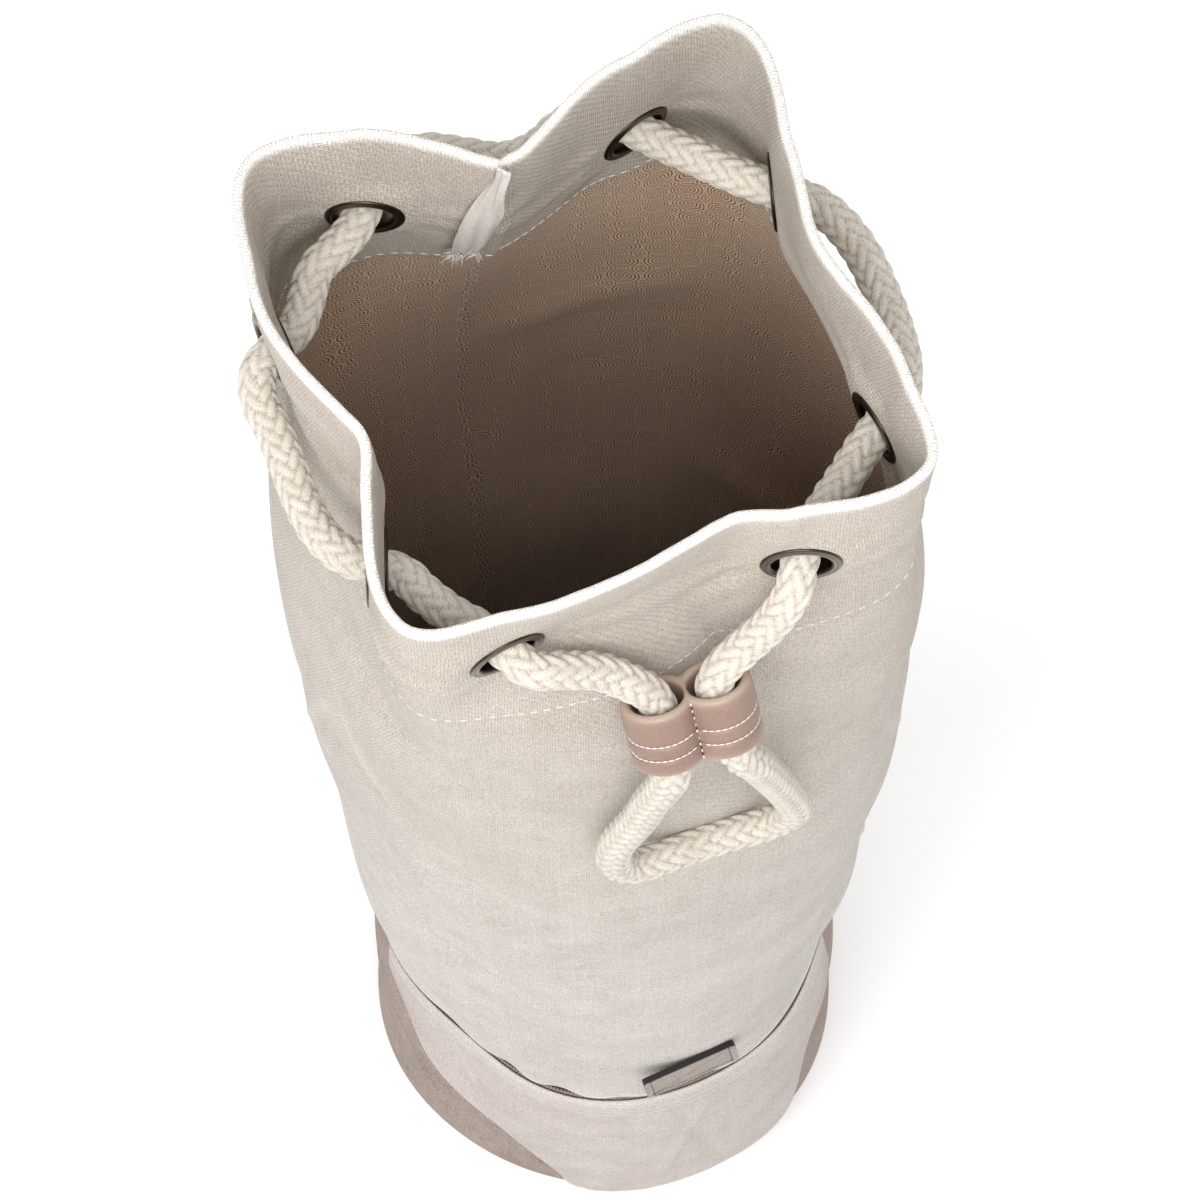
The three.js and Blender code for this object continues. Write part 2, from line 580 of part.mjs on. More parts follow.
const slider = add("slider", "leather", sliderSleeve());
slider.position.set(SLIDER_PLACE.x, SLIDER_PLACE.y, SLIDER_PLACE.z);
slider.rotation.set(rad(-SLIDER_TILT.back), rad(-SLIDER_TILT.left), rad(SLIDER_TILT.turned), "ZXY");

// The cord, one tube from the slider's left barrel all the way round and back into it.
function cordTube() {
  const points = CORD_ROUTE.map(([x, y, z]) => new THREE.Vector3(x, y, z));
  const path = new THREE.CatmullRomCurve3(points, false, "centripetal");
  const section = new THREE.Shape();
  section.absarc(0, 0, CORD_RADIUS, 0, 2 * Math.PI, false);
  return new THREE.ExtrudeGeometry(section, {
    steps: Math.round(path.getLength() / (CORD_STEP * CORD_RADIUS)),
    extrudePath: path,
    curveSegments: CORD_SIDES / 2,
  });
}
add("cord", "cotton", cordTube());

export default bag;
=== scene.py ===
# %% [markdown]
# A tall drawstring bag of canvas with an open mouth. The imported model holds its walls, cord, slider and
# metal at their real size. This script dresses them: every cloth layer is laid again as fine mesh on the
# same wall, the cord is plaited, the metal is turned, and each finish gets its own material.

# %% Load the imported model
import math
import random

import bmesh
import bpy
import numpy as np
from mathutils import Matrix, Vector


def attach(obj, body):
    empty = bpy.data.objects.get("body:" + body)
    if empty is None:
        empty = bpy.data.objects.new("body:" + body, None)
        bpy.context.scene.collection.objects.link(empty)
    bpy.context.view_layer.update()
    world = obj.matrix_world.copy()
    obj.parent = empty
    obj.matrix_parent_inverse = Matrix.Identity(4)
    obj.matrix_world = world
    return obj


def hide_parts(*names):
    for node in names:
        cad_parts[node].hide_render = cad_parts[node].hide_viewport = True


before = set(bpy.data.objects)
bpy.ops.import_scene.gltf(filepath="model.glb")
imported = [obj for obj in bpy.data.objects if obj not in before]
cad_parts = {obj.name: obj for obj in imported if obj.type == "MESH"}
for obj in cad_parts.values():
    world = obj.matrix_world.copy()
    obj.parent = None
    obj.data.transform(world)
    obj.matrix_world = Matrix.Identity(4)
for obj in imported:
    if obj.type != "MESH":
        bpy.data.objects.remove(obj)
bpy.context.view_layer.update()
print("parts of the packed model:", len(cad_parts))

# %% [markdown]
# The bag was seen from high up in front, through a long lens, so it tapers only a little. The camera
# stands where that view had it and looks 72 degrees down. It comes first, because the cord is measured
# against what it sees.

# %% The camera
CAMERA_PLACE = (0, -0.3323, 1.4763)
CAMERA_DOWN = 72
CAMERA_LENS = 126
CAMERA_SHIFT = -5 / 1200

camera = bpy.data.objects.new("camera", bpy.data.cameras.new("camera"))
bpy.context.collection.objects.link(camera)
camera.location = CAMERA_PLACE
camera.rotation_euler = (math.radians(90 - CAMERA_DOWN), 0, 0)
camera.data.lens = CAMERA_LENS
camera.data.shift_x = CAMERA_SHIFT
camera.data.dof.use_dof = False
bpy.context.scene.camera = camera
print("camera at", CAMERA_PLACE)

# %% [markdown]
# Most pieces here are sheets: rows of points laid on a curved wall. A bmesh grid gives the faces, each
# point is then moved to its place, and the edges that meet are welded. The same helper makes the cloth,
# the lining and the cord, and it gives each piece a map in metres, so that a weave keeps its real scale.

# %% A sheet from rows of places
MM = 0.001
WELD = 1e-6


def finish_piece(bm, name, material, smooth=True):
    mesh = bpy.data.meshes.new(name)
    bm.to_mesh(mesh)
    bm.free()
    for polygon in mesh.polygons:
        polygon.use_smooth = smooth
    piece = bpy.data.objects.new(name, mesh)
    bpy.context.collection.objects.link(piece)
    mesh.materials.append(material)
    print(name, "faces:", len(mesh.polygons))
    return piece


def lay_sheet(places, cloth_map, tint=None):
    """A bmesh grid whose points lie at places, with its map in metres and a tint for each point."""
    rows, columns = places.shape[:2]
    bm = bmesh.new()
    bmesh.ops.create_grid(bm, x_segments=columns - 1, y_segments=rows - 1, size=1)
    map_layer = bm.loops.layers.uv.new("cloth")
    tint_layer = bm.verts.layers.float.new("tint")
    tints = np.zeros((rows, columns)) if tint is None else tint
    for vert, place, value in zip(bm.verts, places.reshape(-1, 3), tints.reshape(-1)):
        vert.co = place
        vert[tint_layer] = value
    spots = [tuple(spot) for spot in cloth_map.reshape(-1, 2)]
    bm.verts.index_update()
    for face in bm.faces:
        for loop in face.loops:
            loop[map_layer].uv = spots[loop.vert.index]
    bmesh.ops.remove_doubles(bm, verts=bm.verts, dist=WELD)
    bmesh.ops.recalc_face_normals(bm, faces=bm.faces)
    return bm


# %% [markdown]
# The cord is one loop of plaited cotton. It leaves the slider's left barrel, runs round the mouth through
# the eyelets, comes back down the right barrel and hangs in a loop below. Its route is given as a list of
# points, and the curve through the points leaves more room between far points than between near ones.

# %% The cord's route
CORD_ROUTE_MM = [
    (13, -71.8, 584.7), (12, -69.2, 588.4), (10, -67, 593), (5.2, -66.1, 599), (-1.5, -65.6, 605.5),
    (-9.6, -67.2, 611.6), (-16, -68, 615.1), (-21.7, -63.9, 616.6), (-26.6, -60, 616.8),
    (-33, -56.2, 616.4), (-39.6, -50.8, 615.7), (-43.5, -46.8, 615), (-49.8, -44.4, 614.3),
    (-56.2, -42, 613.6), (-61.8, -36.6, 612.4), (-66, -29, 611.2), (-69.3, -20.5, 610.4), (-72.6, -12, 610),
    (-76, -5, 610.4), (-76.4, 1.6, 611.2), (-72.4, 7.3, 611.6), (-68.2, 12.1, 611.6), (-66.1, 17.9, 612.9),
    (-64.2, 24, 615), (-59.6, 29.2, 615.6), (-56, 33.8, 615.1), (-53.4, 39.9, 614.4), (-51.6, 46.2, 613.5),
    (-46.6, 52, 612.2), (-39.8, 54.8, 610.6), (-31.4, 54.4, 609), (-23.4, 54, 607.5), (-16, 57, 606.4),
    (-10.2, 62.6, 605.9), (-4.4, 66.2, 605.9), (1, 65.8, 606.1), (6.2, 62.6, 606.3), (12.2, 59.3, 606.7),
    (20, 54.9, 608), (26, 51.3, 609.3), (32.1, 48, 610.4), (39.5, 45, 610.9), (46.8, 42, 611),
    (52.6, 37.2, 610.4), (57.8, 29.8, 609.6), (61.8, 20.3, 609.3), (64.6, 11, 610.2), (65.8, 3, 611.8),
    (65, -4.1, 613.2), (60.4, -11.6, 613.6), (56, -17.9, 613.9), (52.2, -24.4, 614.5), (48.4, -30.6, 615.5),
    (45, -37, 616.8), (42.2, -43.6, 617.5), (40.7, -50.3, 615.2), (36.8, -54.3, 607), (31.2, -58, 600.8),
    (25.8, -62, 596.4), (24.1, -64.8, 591), (25.5, -68.2, 585), (26.9, -71.9, 579.7), (29.6, -74.4, 572.6),
    (33.6, -73.8, 562), (36.8, -71.3, 545), (41.1, -69.1, 525), (44.5, -66.8, 505), (45.6, -66.6, 498),
    (44.9, -66.4, 490.5), (41.4, -67, 486), (36.3, -68.5, 484.8), (30.5, -70.1, 484.8),
    (23.6, -72.6, 485.6), (16.3, -75.5, 486.2), (10, -78, 487), (5.1, -79.5, 490), (2.2, -79.9, 498.5),
    (2.8, -79.5, 511), (5.6, -79, 522), (8.4, -78.8, 534), (10.5, -78.8, 547), (13.5, -79, 561),
    (15.2, -78.4, 571), (14.3, -75.1, 579.2),
]
CORD_RING_STEP = 0.5 * MM
CURVE_SAMPLES = 40


def smooth_route(points, step):
    """Evenly spaced places on the centripetal curve through the points."""
    points = np.array(points, float)
    points = np.vstack([2 * points[0] - points[1], points, 2 * points[-1] - points[-2]])
    fine = []
    for p0, p1, p2, p3 in zip(points, points[1:], points[2:], points[3:]):
        t1 = np.linalg.norm(p1 - p0) ** 0.5
        t2 = t1 + np.linalg.norm(p2 - p1) ** 0.5
        t3 = t2 + np.linalg.norm(p3 - p2) ** 0.5
        t = np.linspace(t1, t2, CURVE_SAMPLES, endpoint=False)[:, None]
        a1 = (t1 - t) / t1 * p0 + t / t1 * p1
        a2 = (t2 - t) / (t2 - t1) * p1 + (t - t1) / (t2 - t1) * p2
        a3 = (t3 - t) / (t3 - t2) * p2 + (t - t2) / (t3 - t2) * p3
        b1 = (t2 - t) / t2 * a1 + t / t2 * a2
        b2 = (t3 - t) / (t3 - t1) * a2 + (t - t1) / (t3 - t1) * a3
        fine.append((t2 - t) / (t2 - t1) * b1 + (t - t1) / (t2 - t1) * b2)
    fine = np.vstack(fine + [points[-2]])
    run = np.concatenate([[0], np.cumsum(np.linalg.norm(np.diff(fine, axis=0), axis=1))])
    stations = np.linspace(0, run[-1], round(run[-1] / step) + 1)
    return np.stack([np.interp(stations, run, fine[:, axis]) for axis in range(3)], axis=1), stations


cord_path, cord_run = smooth_route(np.array(CORD_ROUTE_MM) * MM, CORD_RING_STEP)
print("cord length:", round(cord_run[-1], 4), "m in", len(cord_path), "rings")

# %% [markdown]
# Materials are built from a few shared effects. Each effect is a node group that gives only masks,
# heights or shades: the woven threads of the canvas, the soft mottling and grain of undyed cotton, and the
# printed rings. The finishes mix them with their own values and keep their own shader.

# %% Helpers for node groups
def new_group(name, inputs, outputs):
    group = bpy.data.node_groups.new(name, "ShaderNodeTree")
    for title, kind, value in inputs:
        socket = group.interface.new_socket(title, in_out="INPUT", socket_type=kind)
        if value is not None:
            socket.default_value = value
    for title, kind in outputs:
        group.interface.new_socket(title, in_out="OUTPUT", socket_type=kind)
    return group, group.nodes.new("NodeGroupInput"), group.nodes.new("NodeGroupOutput")


def node(tree, kind, settings=None, **sockets):
    """A node with its settings, and its sockets set to a value or linked from another node's output."""
    made = tree.nodes.new(kind)
    for key, value in (settings or {}).items():
        setattr(made, key, value)
    for key, value in sockets.items():
        socket = made.inputs[int(key[1:])] if key[0] == "i" and key[1:].isdigit() else made.inputs[key]
        if isinstance(value, bpy.types.NodeSocket):
            tree.links.new(value, socket)
        else:
            socket.default_value = value
    return made


def maths(tree, operation, a, b=0.0, c=0.0):
    return node(tree, "ShaderNodeMath", {"operation": operation}, i0=a, i1=b, i2=c).outputs[0]


def vectors(tree, operation, a, b=(0, 0, 0)):
    made = node(tree, "ShaderNodeVectorMath", {"operation": operation}, i0=a, i1=b)
    return made.outputs["Value"] if operation in ("LENGTH", "DOT_PRODUCT") else made.outputs["Vector"]


def blend_values(tree, share, low, high):
    return node(tree, "ShaderNodeMix", {"data_type": "FLOAT"}, i0=share, i2=low, i3=high).outputs[0]


def blend_colours(tree, share, low, high):
    made = node(tree, "ShaderNodeMix", {"data_type": "RGBA"}, i0=share, i6=low, i7=high)
    return made.outputs[2]


# %% [markdown]
# The canvas is woven with a fine slant: each thread goes over two and under two, one step further in each
# row. Counting the threads of both ways, in fours, says which one is on top, and half a sine wave gives
# its round back. The threads drift a little, and each has its own shade and slubs, as natural yarn does.

# %% The weave group
def thread_noise(tree, place, axis):
    """A random shade for each thread, from the number of the row or column that it runs in."""
    parts = node(tree, "ShaderNodeSeparateXYZ", i0=place).outputs
    number = maths(tree, "FLOOR", parts[axis])
    own = node(tree, "ShaderNodeTexWhiteNoise", {"noise_dimensions": "1D"}, W=number).outputs["Value"]
    stretch = (0.03, 1.0, 1.0) if axis else (1.0, 0.03, 1.0)
    along = vectors(tree, "MULTIPLY", place, stretch)
    slub = node(tree, "ShaderNodeTexNoise", {}, Vector=along, Scale=0.9, Detail=2.0).outputs["Fac"]
    return maths(tree, "ADD", maths(tree, "MULTIPLY", own, 0.5), maths(tree, "MULTIPLY", slub, 0.5))


def build_weave():
    group, given, result = new_group(
        "slanted_weave",
        [("Map", "NodeSocketVector", None), ("Threads per Metre", "NodeSocketFloat", 1700.0)],
        [("Height", "NodeSocketFloat"), ("Shade", "NodeSocketFloat")],
    )
    even = vectors(group, "SCALE", given.outputs["Map"])
    group.links.new(given.outputs["Threads per Metre"], even.node.inputs["Scale"])
    drift = node(group, "ShaderNodeTexNoise", {}, Vector=even, Scale=0.35, Detail=2.0).outputs["Color"]
    scaled = vectors(group, "ADD", even, vectors(group, "MULTIPLY", drift, (1.4, 1.4, 0)))
    parts = node(group, "ShaderNodeSeparateXYZ", i0=scaled).outputs
    count = maths(group, "ADD", maths(group, "FLOOR", parts[0]), maths(group, "FLOOR", parts[1]))
    over = maths(group, "LESS_THAN", maths(group, "FLOORED_MODULO", count, 4.0), 2.0)
    backs = [
        maths(group, "ABSOLUTE", maths(group, "SINE", maths(group, "MULTIPLY", parts[axis], math.pi)))
        for axis in (0, 1)
    ]
    height = blend_values(group, over, backs[0], backs[1])
    shade = blend_values(group, over, thread_noise(group, scaled, 0), thread_noise(group, scaled, 1))
    group.links.new(maths(group, "POWER", height, 0.7), result.inputs["Height"])
    group.links.new(shade, result.inputs["Shade"])
    return group


WEAVE = build_weave()
print("weave group nodes:", len(WEAVE.nodes))

# %% [markdown]
# Mottling is what the eye reads as cloth from further off: soft cloudy patches of two sizes. The same
# group serves every cloth and the leather, at its own scale.

# %% The mottling group
def build_mottling():
    group, given, result = new_group(
        "mottling",
        [("Scale", "NodeSocketFloat", 60.0), ("Grain Scale", "NodeSocketFloat", 900.0)],
        [("Cloud", "NodeSocketFloat"), ("Grain", "NodeSocketFloat")],
    )
    place = node(group, "ShaderNodeTexCoord").outputs["Object"]
    cloud = node(group, "ShaderNodeTexNoise", {}, Vector=place, Scale=1.0, Detail=3.0, Roughness=0.6)
    grain = node(group, "ShaderNodeTexNoise", {}, Vector=place, Scale=1.0, Detail=4.0, Roughness=0.7)
    group.links.new(given.outputs["Scale"], cloud.inputs["Scale"])
    group.links.new(given.outputs["Grain Scale"], grain.inputs["Scale"])
    strong = node(group, "ShaderNodeMapRange", {}, i0=grain.outputs["Fac"], i1=0.36, i2=0.64)
    group.links.new(cloud.outputs["Fac"], result.inputs["Cloud"])
    group.links.new(strong.outputs[0], result.inputs["Grain"])
    return group


MOTTLING = build_mottling()


def place_group(tree, group, **values):
    made = tree.nodes.new("ShaderNodeGroup")
    made.node_tree = group
    for key, value in values.items():
        socket = made.inputs[key.replace("_", " ")]
        if isinstance(value, bpy.types.NodeSocket):
            tree.links.new(value, socket)
        else:
            socket.default_value = value
    return made


# %% [markdown]
# The cloth finish. Its colour has three shades: the thread on top, the cloud behind it, and a tint that
# each piece carries for painted highlights along its rims, edges and crease ridges, where the creases also
# show a little wear. The gaps between threads are darker, as painted shade, and the canvas is painted warmer
# and darker towards the mouth, as shade and bounce light from inside the bag. The weave is also a small
# bump, and a little sheen gives the soft bright rim of cotton seen at a slant.

# %% The cloth finish
def srgb(red, green, blue):
    return tuple(((c / 255 + 0.055) / 1.055) ** 2.4 for c in (red, green, blue)) + (1,)


# Painted shade and bounce light: the canvas is coloured warmer and darker towards the mouth.
MOUTH_SHADE_COLOUR = srgb(164, 144, 118)
MOUTH_SHADE_FROM = 0.3
MOUTH_SHADE_FULLY = 0.62


def cloth_material(name, dark, light, edge, threads, bump=0.6, contrast=0.5, sheen=0.15, gap_shade=0.3, mouth_shade=0.0):
    material = bpy.data.materials.new(name)
    material.use_nodes = True
    tree = material.node_tree
    shader = tree.nodes["Principled BSDF"]
    cloth_map = node(tree, "ShaderNodeUVMap", {"uv_map": "cloth"}).outputs["UV"]
    weave = place_group(tree, WEAVE, Map=cloth_map, Threads_per_Metre=threads)
    mottle = place_group(tree, MOTTLING, Scale=55.0, Grain_Scale=1400.0)
    shade = blend_values(tree, contrast, mottle.outputs["Cloud"], weave.outputs["Shade"])
    shade = blend_values(tree, 0.45, shade, mottle.outputs["Grain"])
    spread = node(tree, "ShaderNodeMapRange", {}, i0=shade, i1=0.22, i2=0.78)
    colour = blend_colours(tree, spread.outputs[0], dark, light)
    place = node(tree, "ShaderNodeTexCoord").outputs["Object"]
    height = node(tree, "ShaderNodeSeparateXYZ", i0=place).outputs[2]
    # Painted shade and bounce light: the colour turns warmer and darker from the middle of the bag up to the
    # mouth.
    mouth_shading = node(tree, "ShaderNodeMapRange", {}, i0=height, i1=MOUTH_SHADE_FROM, i2=MOUTH_SHADE_FULLY, i4=mouth_shade)
    colour = blend_colours(tree, mouth_shading.outputs[0], colour, MOUTH_SHADE_COLOUR)
    tint = node(tree, "ShaderNodeAttribute", {"attribute_name": "tint"}).outputs["Fac"]
    # Painted highlights: the tint pales the cloth towards its edge colour along rims, edges and crease
    # ridges.
    colour = blend_colours(tree, tint, colour, edge)
    # Painted shade: the colour darkens in the gaps between threads, where the weave is low.
    depth = maths(tree, "MULTIPLY", maths(tree, "SUBTRACT", 1.0, weave.outputs["Height"]), gap_shade)
    colour = blend_colours(tree, depth, colour, tuple(0.25 * channel for channel in dark[:3]) + (1,))
    tree.links.new(colour, shader.inputs["Base Color"])
    relief = node(tree, "ShaderNodeBump", {}, Strength=bump, Distance=0.0004, Height=weave.outputs["Height"])
    fibre = node(tree, "ShaderNodeBump", {}, Strength=0.3, Distance=0.0002, Height=mottle.outputs["Grain"])
    tree.links.new(relief.outputs[0], fibre.inputs["Normal"])
    tree.links.new(fibre.outputs[0], shader.inputs["Normal"])
    shader.inputs["Roughness"].default_value = 0.92
    shader.inputs["Specular IOR Level"].default_value = 0.2
    shader.inputs["Sheen Weight"].default_value = sheen
    shader.inputs["Sheen Roughness"].default_value = 0.5
    return material


# The canvas's edge colour is the near-white of its painted highlights on the rim, the lower edge and the
# creases.
canvas = cloth_material(
    "bag_canvas", srgb(184, 174, 165), srgb(238, 232, 225), srgb(242, 238, 231), 1500,
    contrast=0.3, gap_shade=0.5, mouth_shade=0.4
)
# Painted shade: this cloth is the pocket's cloth coloured darker, for the shade beside the panel.
shaded_base_cloth = cloth_material(
    "shaded_base_cloth", srgb(112, 90, 80), srgb(194, 176, 164), srgb(214, 200, 188), 1400, contrast=0.35, gap_shade=0.5
)
pocket_cloth = cloth_material(
    "pocket_cloth", srgb(182, 167, 160), srgb(230, 220, 215), srgb(246, 240, 236), 1600,
    contrast=0.3, gap_shade=0.45
)
print("cloth finishes:", canvas.name, shaded_base_cloth.name, pocket_cloth.name)

# %% [markdown]
# The lining is printed with rings that overlap like fish scales, an old pattern of many countries. Each
# layer of the print is a lattice of discs filled with fine concentric rings, and each next layer covers
# the one below, moved by half a step.

# %% The printed lining
RING_PITCH = 8.5 * MM
RING_COUNT = 5
RING_LAYERS = [(0.0, 0.0), (0.5, 0.5), (0.5, 0.0), (0.0, 0.5)]


def build_rings():
    group, given, result = new_group(
        "overlapping_rings",
        [("Map", "NodeSocketVector", None), ("Pitch", "NodeSocketFloat", RING_PITCH)],
        [("Line", "NodeSocketFloat")],
    )
    size = maths(group, "DIVIDE", 1.0, given.outputs["Pitch"])
    scaled = vectors(group, "SCALE", given.outputs["Map"])
    group.links.new(size, scaled.node.inputs["Scale"])
    wander = node(group, "ShaderNodeTexNoise", {}, Vector=scaled, Scale=0.35, Detail=1.0).outputs["Color"]
    moved = vectors(group, "ADD", scaled, vectors(group, "SUBTRACT", wander, (0.5, 0.5, 0.5)))
    line = None
    for shift in RING_LAYERS:
        local = vectors(group, "FRACTION", vectors(group, "ADD", moved, (*shift, 0)))
        flat = vectors(group, "MULTIPLY", vectors(group, "SUBTRACT", local, (0.5, 0.5, 0)), (1, 1, 0))
        reach = vectors(group, "LENGTH", flat)
        wave = maths(group, "SINE", maths(group, "MULTIPLY", reach, RING_COUNT * 4 * math.pi))
        ring = maths(group, "GREATER_THAN", wave, 0.1)
        inside = maths(group, "LESS_THAN", reach, 0.49)
        line = ring if line is None else blend_values(group, inside, line, ring)
    group.links.new(line, result.inputs["Line"])
    return group


def printed_material():
    material = cloth_material(
        "printed_cotton", srgb(222, 190, 158), srgb(250, 222, 192), srgb(240, 220, 196), 2400, bump=0.2
    )
    tree = material.node_tree
    cloth_map = node(tree, "ShaderNodeUVMap", {"uv_map": "cloth"}).outputs["UV"]
    rings = place_group(tree, build_rings(), Map=cloth_map)
    shader = tree.nodes["Principled BSDF"]
    ground = shader.inputs["Base Color"].links[0].from_socket
    share = maths(tree, "MULTIPLY", rings.outputs["Line"], 0.85)
    tree.links.new(blend_colours(tree, share, ground, srgb(92, 62, 44)), shader.inputs["Base Color"])
    return material


print_cloth = printed_material()
print("rings in each disc of the print:", RING_COUNT)

# %% [markdown]
# The other finishes: plaited cotton, darker down in its grooves as painted shade, smooth coloured leather
# with a painted highlight along its ends, dark metal with a painted highlight on its lips, and the zip's dark
# nylon.

# %% The other finishes
def plain_material(name, roughness, metallic=0.0, coat=0.0, specular=0.5):
    material = bpy.data.materials.new(name)
    material.use_nodes = True
    shader = material.node_tree.nodes["Principled BSDF"]
    shader.inputs["Roughness"].default_value = roughness
    shader.inputs["Metallic"].default_value = metallic
    shader.inputs["Coat Weight"].default_value = coat
    shader.inputs["Specular IOR Level"].default_value = specular
    return material, material.node_tree, shader


ROUGHNESS_SPREAD = 0.08


def grained_material(name, dark, light, edge, roughness, scale, grain, bump, **shader_values):
    """A finish whose colour runs from dark to light with its clouds, and to the edge colour with the tint."""
    material, tree, shader = plain_material(name, roughness, **shader_values)
    mottle = place_group(tree, MOTTLING, Scale=scale, Grain_Scale=grain)
    share = blend_values(tree, 0.5, mottle.outputs["Cloud"], mottle.outputs["Grain"])
    spread = node(tree, "ShaderNodeMapRange", {}, i0=share, i1=0.2, i2=0.8)
    colour = blend_colours(tree, spread.outputs[0], dark, light)
    tint = node(tree, "ShaderNodeAttribute", {"attribute_name": "tint"}).outputs["Fac"]
    tree.links.new(blend_colours(tree, tint, colour, edge), shader.inputs["Base Color"])
    relief = node(tree, "ShaderNodeBump", {}, Strength=bump, Distance=0.0003, Height=mottle.outputs["Grain"])
    tree.links.new(relief.outputs[0], shader.inputs["Normal"])
    cloud = mottle.outputs["Cloud"]
    low, high = roughness - ROUGHNESS_SPREAD, roughness + ROUGHNESS_SPREAD
    rough = node(tree, "ShaderNodeMapRange", {}, i0=cloud, i3=low, i4=high)
    tree.links.new(rough.outputs[0], shader.inputs["Roughness"])
    return material


# The cord's edge colour is the painted shade down in the plait's grooves.
cotton = grained_material(
    "cord_cotton", srgb(200, 190, 176), srgb(242, 235, 224), srgb(168, 150, 126), 0.92, 120.0, 2600.0, 0.7,
    specular=0.2
)
cotton.node_tree.nodes["Principled BSDF"].inputs["Sheen Weight"].default_value = 0.3
tape_cotton = grained_material(
    "tape_cotton", srgb(222, 212, 204), srgb(246, 240, 235), srgb(220, 208, 198), 0.92, 260.0, 2400.0, 0.8,
    specular=0.2
)
# The leather's edge colour is the painted highlight along the barrels' ends.
leather = grained_material(
    "slider_leather", srgb(122, 99, 88), srgb(148, 122, 110), srgb(190, 172, 156), 0.48, 90.0, 3200.0, 0.15,
    coat=0.08
)
# The metal's edge colour is the painted highlight on the eyelets' lips.
gunmetal = grained_material(
    "dark_metal", srgb(50, 44, 40), srgb(76, 68, 62), srgb(176, 158, 140), 0.3, 200.0, 2000.0, 0.08,
    metallic=1.0
)
nylon = grained_material(
    "nylon", srgb(74, 56, 46), srgb(104, 84, 72), srgb(168, 146, 130), 0.5, 200.0, 2600.0, 0.2
)
thread = grained_material(
    "thread", srgb(196, 187, 179), srgb(220, 212, 205), srgb(240, 226, 219), 0.8, 300.0, 4000.0, 0.3
)
# Painted dark reflection: a near-black for the plate's sides and top edge.
plate_reflection_paint = grained_material(
    "plate_dark_reflection", srgb(14, 12, 11), srgb(26, 23, 21), srgb(60, 54, 50), 0.45, 300.0, 2000.0, 0.05
)
# Painted shade: the near-black of the needle holes.
needle_hole_shade = grained_material(
    "stitch_hole_shade", srgb(46, 28, 24), srgb(70, 46, 40), srgb(30, 20, 18), 0.8, 300.0, 4000.0, 0.1
)
print("plain finishes:", cotton.name, leather.name, gunmetal.name, nylon.name, thread.name)

# %% [markdown]
# The cord is a round plait of sixteen strands, eight that wind to the left and eight to the right. Each goes
# over two and under two, which gives the arrow pattern. A picture of bumps would end at the cord's edge,
# so here the strands are real: each place on the tube stands as high as the strand that is on top there.

# %% The plaited cord
CORD_DIAMETER = 8.6 * MM
STRANDS = 8
STRAND_LEAD = 4.4 * MM
STRAND_DEPTH = 0.85 * MM
CORD_SIDES = 48


def carried_frames(path):
    """Two directions across the path at each of its places, carried along it without twist."""
    along = np.gradient(path, axis=0)
    along /= np.linalg.norm(along, axis=1)[:, None]
    across = [np.cross(along[0], (0, 0, 1))]
    for direction in along:
        carried = across[-1] - direction * np.dot(across[-1], direction)
        across.append(carried / np.linalg.norm(carried))
    across = np.array(across[1:])
    return across, np.cross(along, across)


def plait(around, along):
    """How high the strand on top stands, from 0 in a groove to 1 on its back."""
    left = STRANDS * around + along / STRAND_LEAD
    right = STRANDS * around - along / STRAND_LEAD
    place = (np.floor(left) + np.floor(right)) % 4
    left_on_top = place < 2
    across = np.where(left_on_top, left % 1, right % 1)
    lengthwise = (place % 2 + np.where(left_on_top, right % 1, left % 1)) / 2
    return np.sin(np.pi * across) ** 0.6 * (0.45 + 0.55 * np.sin(np.pi * lengthwise) ** 0.6)


def plaited_tube(path, run, radius):
    first, second = carried_frames(path)
    around = np.linspace(0, 1, CORD_SIDES + 1)
    turn = 2 * np.pi * around
    height = plait(around[None, :], run[:, None])
    reach = radius - STRAND_DEPTH * (1 - height)
    spokes = first[:, None] * np.cos(turn)[None, :, None] + second[:, None] * np.sin(turn)[None, :, None]
    places = path[:, None] + spokes * reach[:, :, None]
    cloth_map = np.stack(np.broadcast_arrays(around[None, :] * np.pi * 2 * radius, run[:, None]), axis=2)
    # Painted shade: the tint darkens the plait down in its grooves.
    tint = np.clip(0.9 - 1.5 * height, 0, 1)
    return places, cloth_map, tint


def closed_ends(bm):
    bmesh.ops.holes_fill(bm, edges=[edge for edge in bm.edges if edge.is_boundary], sides=0)
    bmesh.ops.recalc_face_normals(bm, faces=bm.faces)
    return bm


places, cloth_map, tint = plaited_tube(cord_path, cord_run, CORD_DIAMETER / 2 + 0.15 * MM)
cord = finish_piece(closed_ends(lay_sheet(places, cloth_map, tint)), "plaited_cord", cotton)
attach(cord, "root")
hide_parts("cord")

# %% [markdown]
# The bag's wall is an oval tube that is gathered at the mouth. Its shape is a table of sections, a table
# of the mouth's folds, and a few soft dents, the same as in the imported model. Everything that is cloth is
# laid on this one wall, so the layers fit each other everywhere.

# %% The wall's sections and folds
BAG_HEIGHT = 0.65
HALF_WIDTH = 0.08
HALF_DEPTH = 0.072
HEM_DEPTH = 0.07
TUCK_UP, TUCK_LENGTH = 0.94, 0.05
PUCKER_REACH = 0.15 * HALF_WIDTH
SEAT_TURN = 7
SEAT_RISE = 0.01

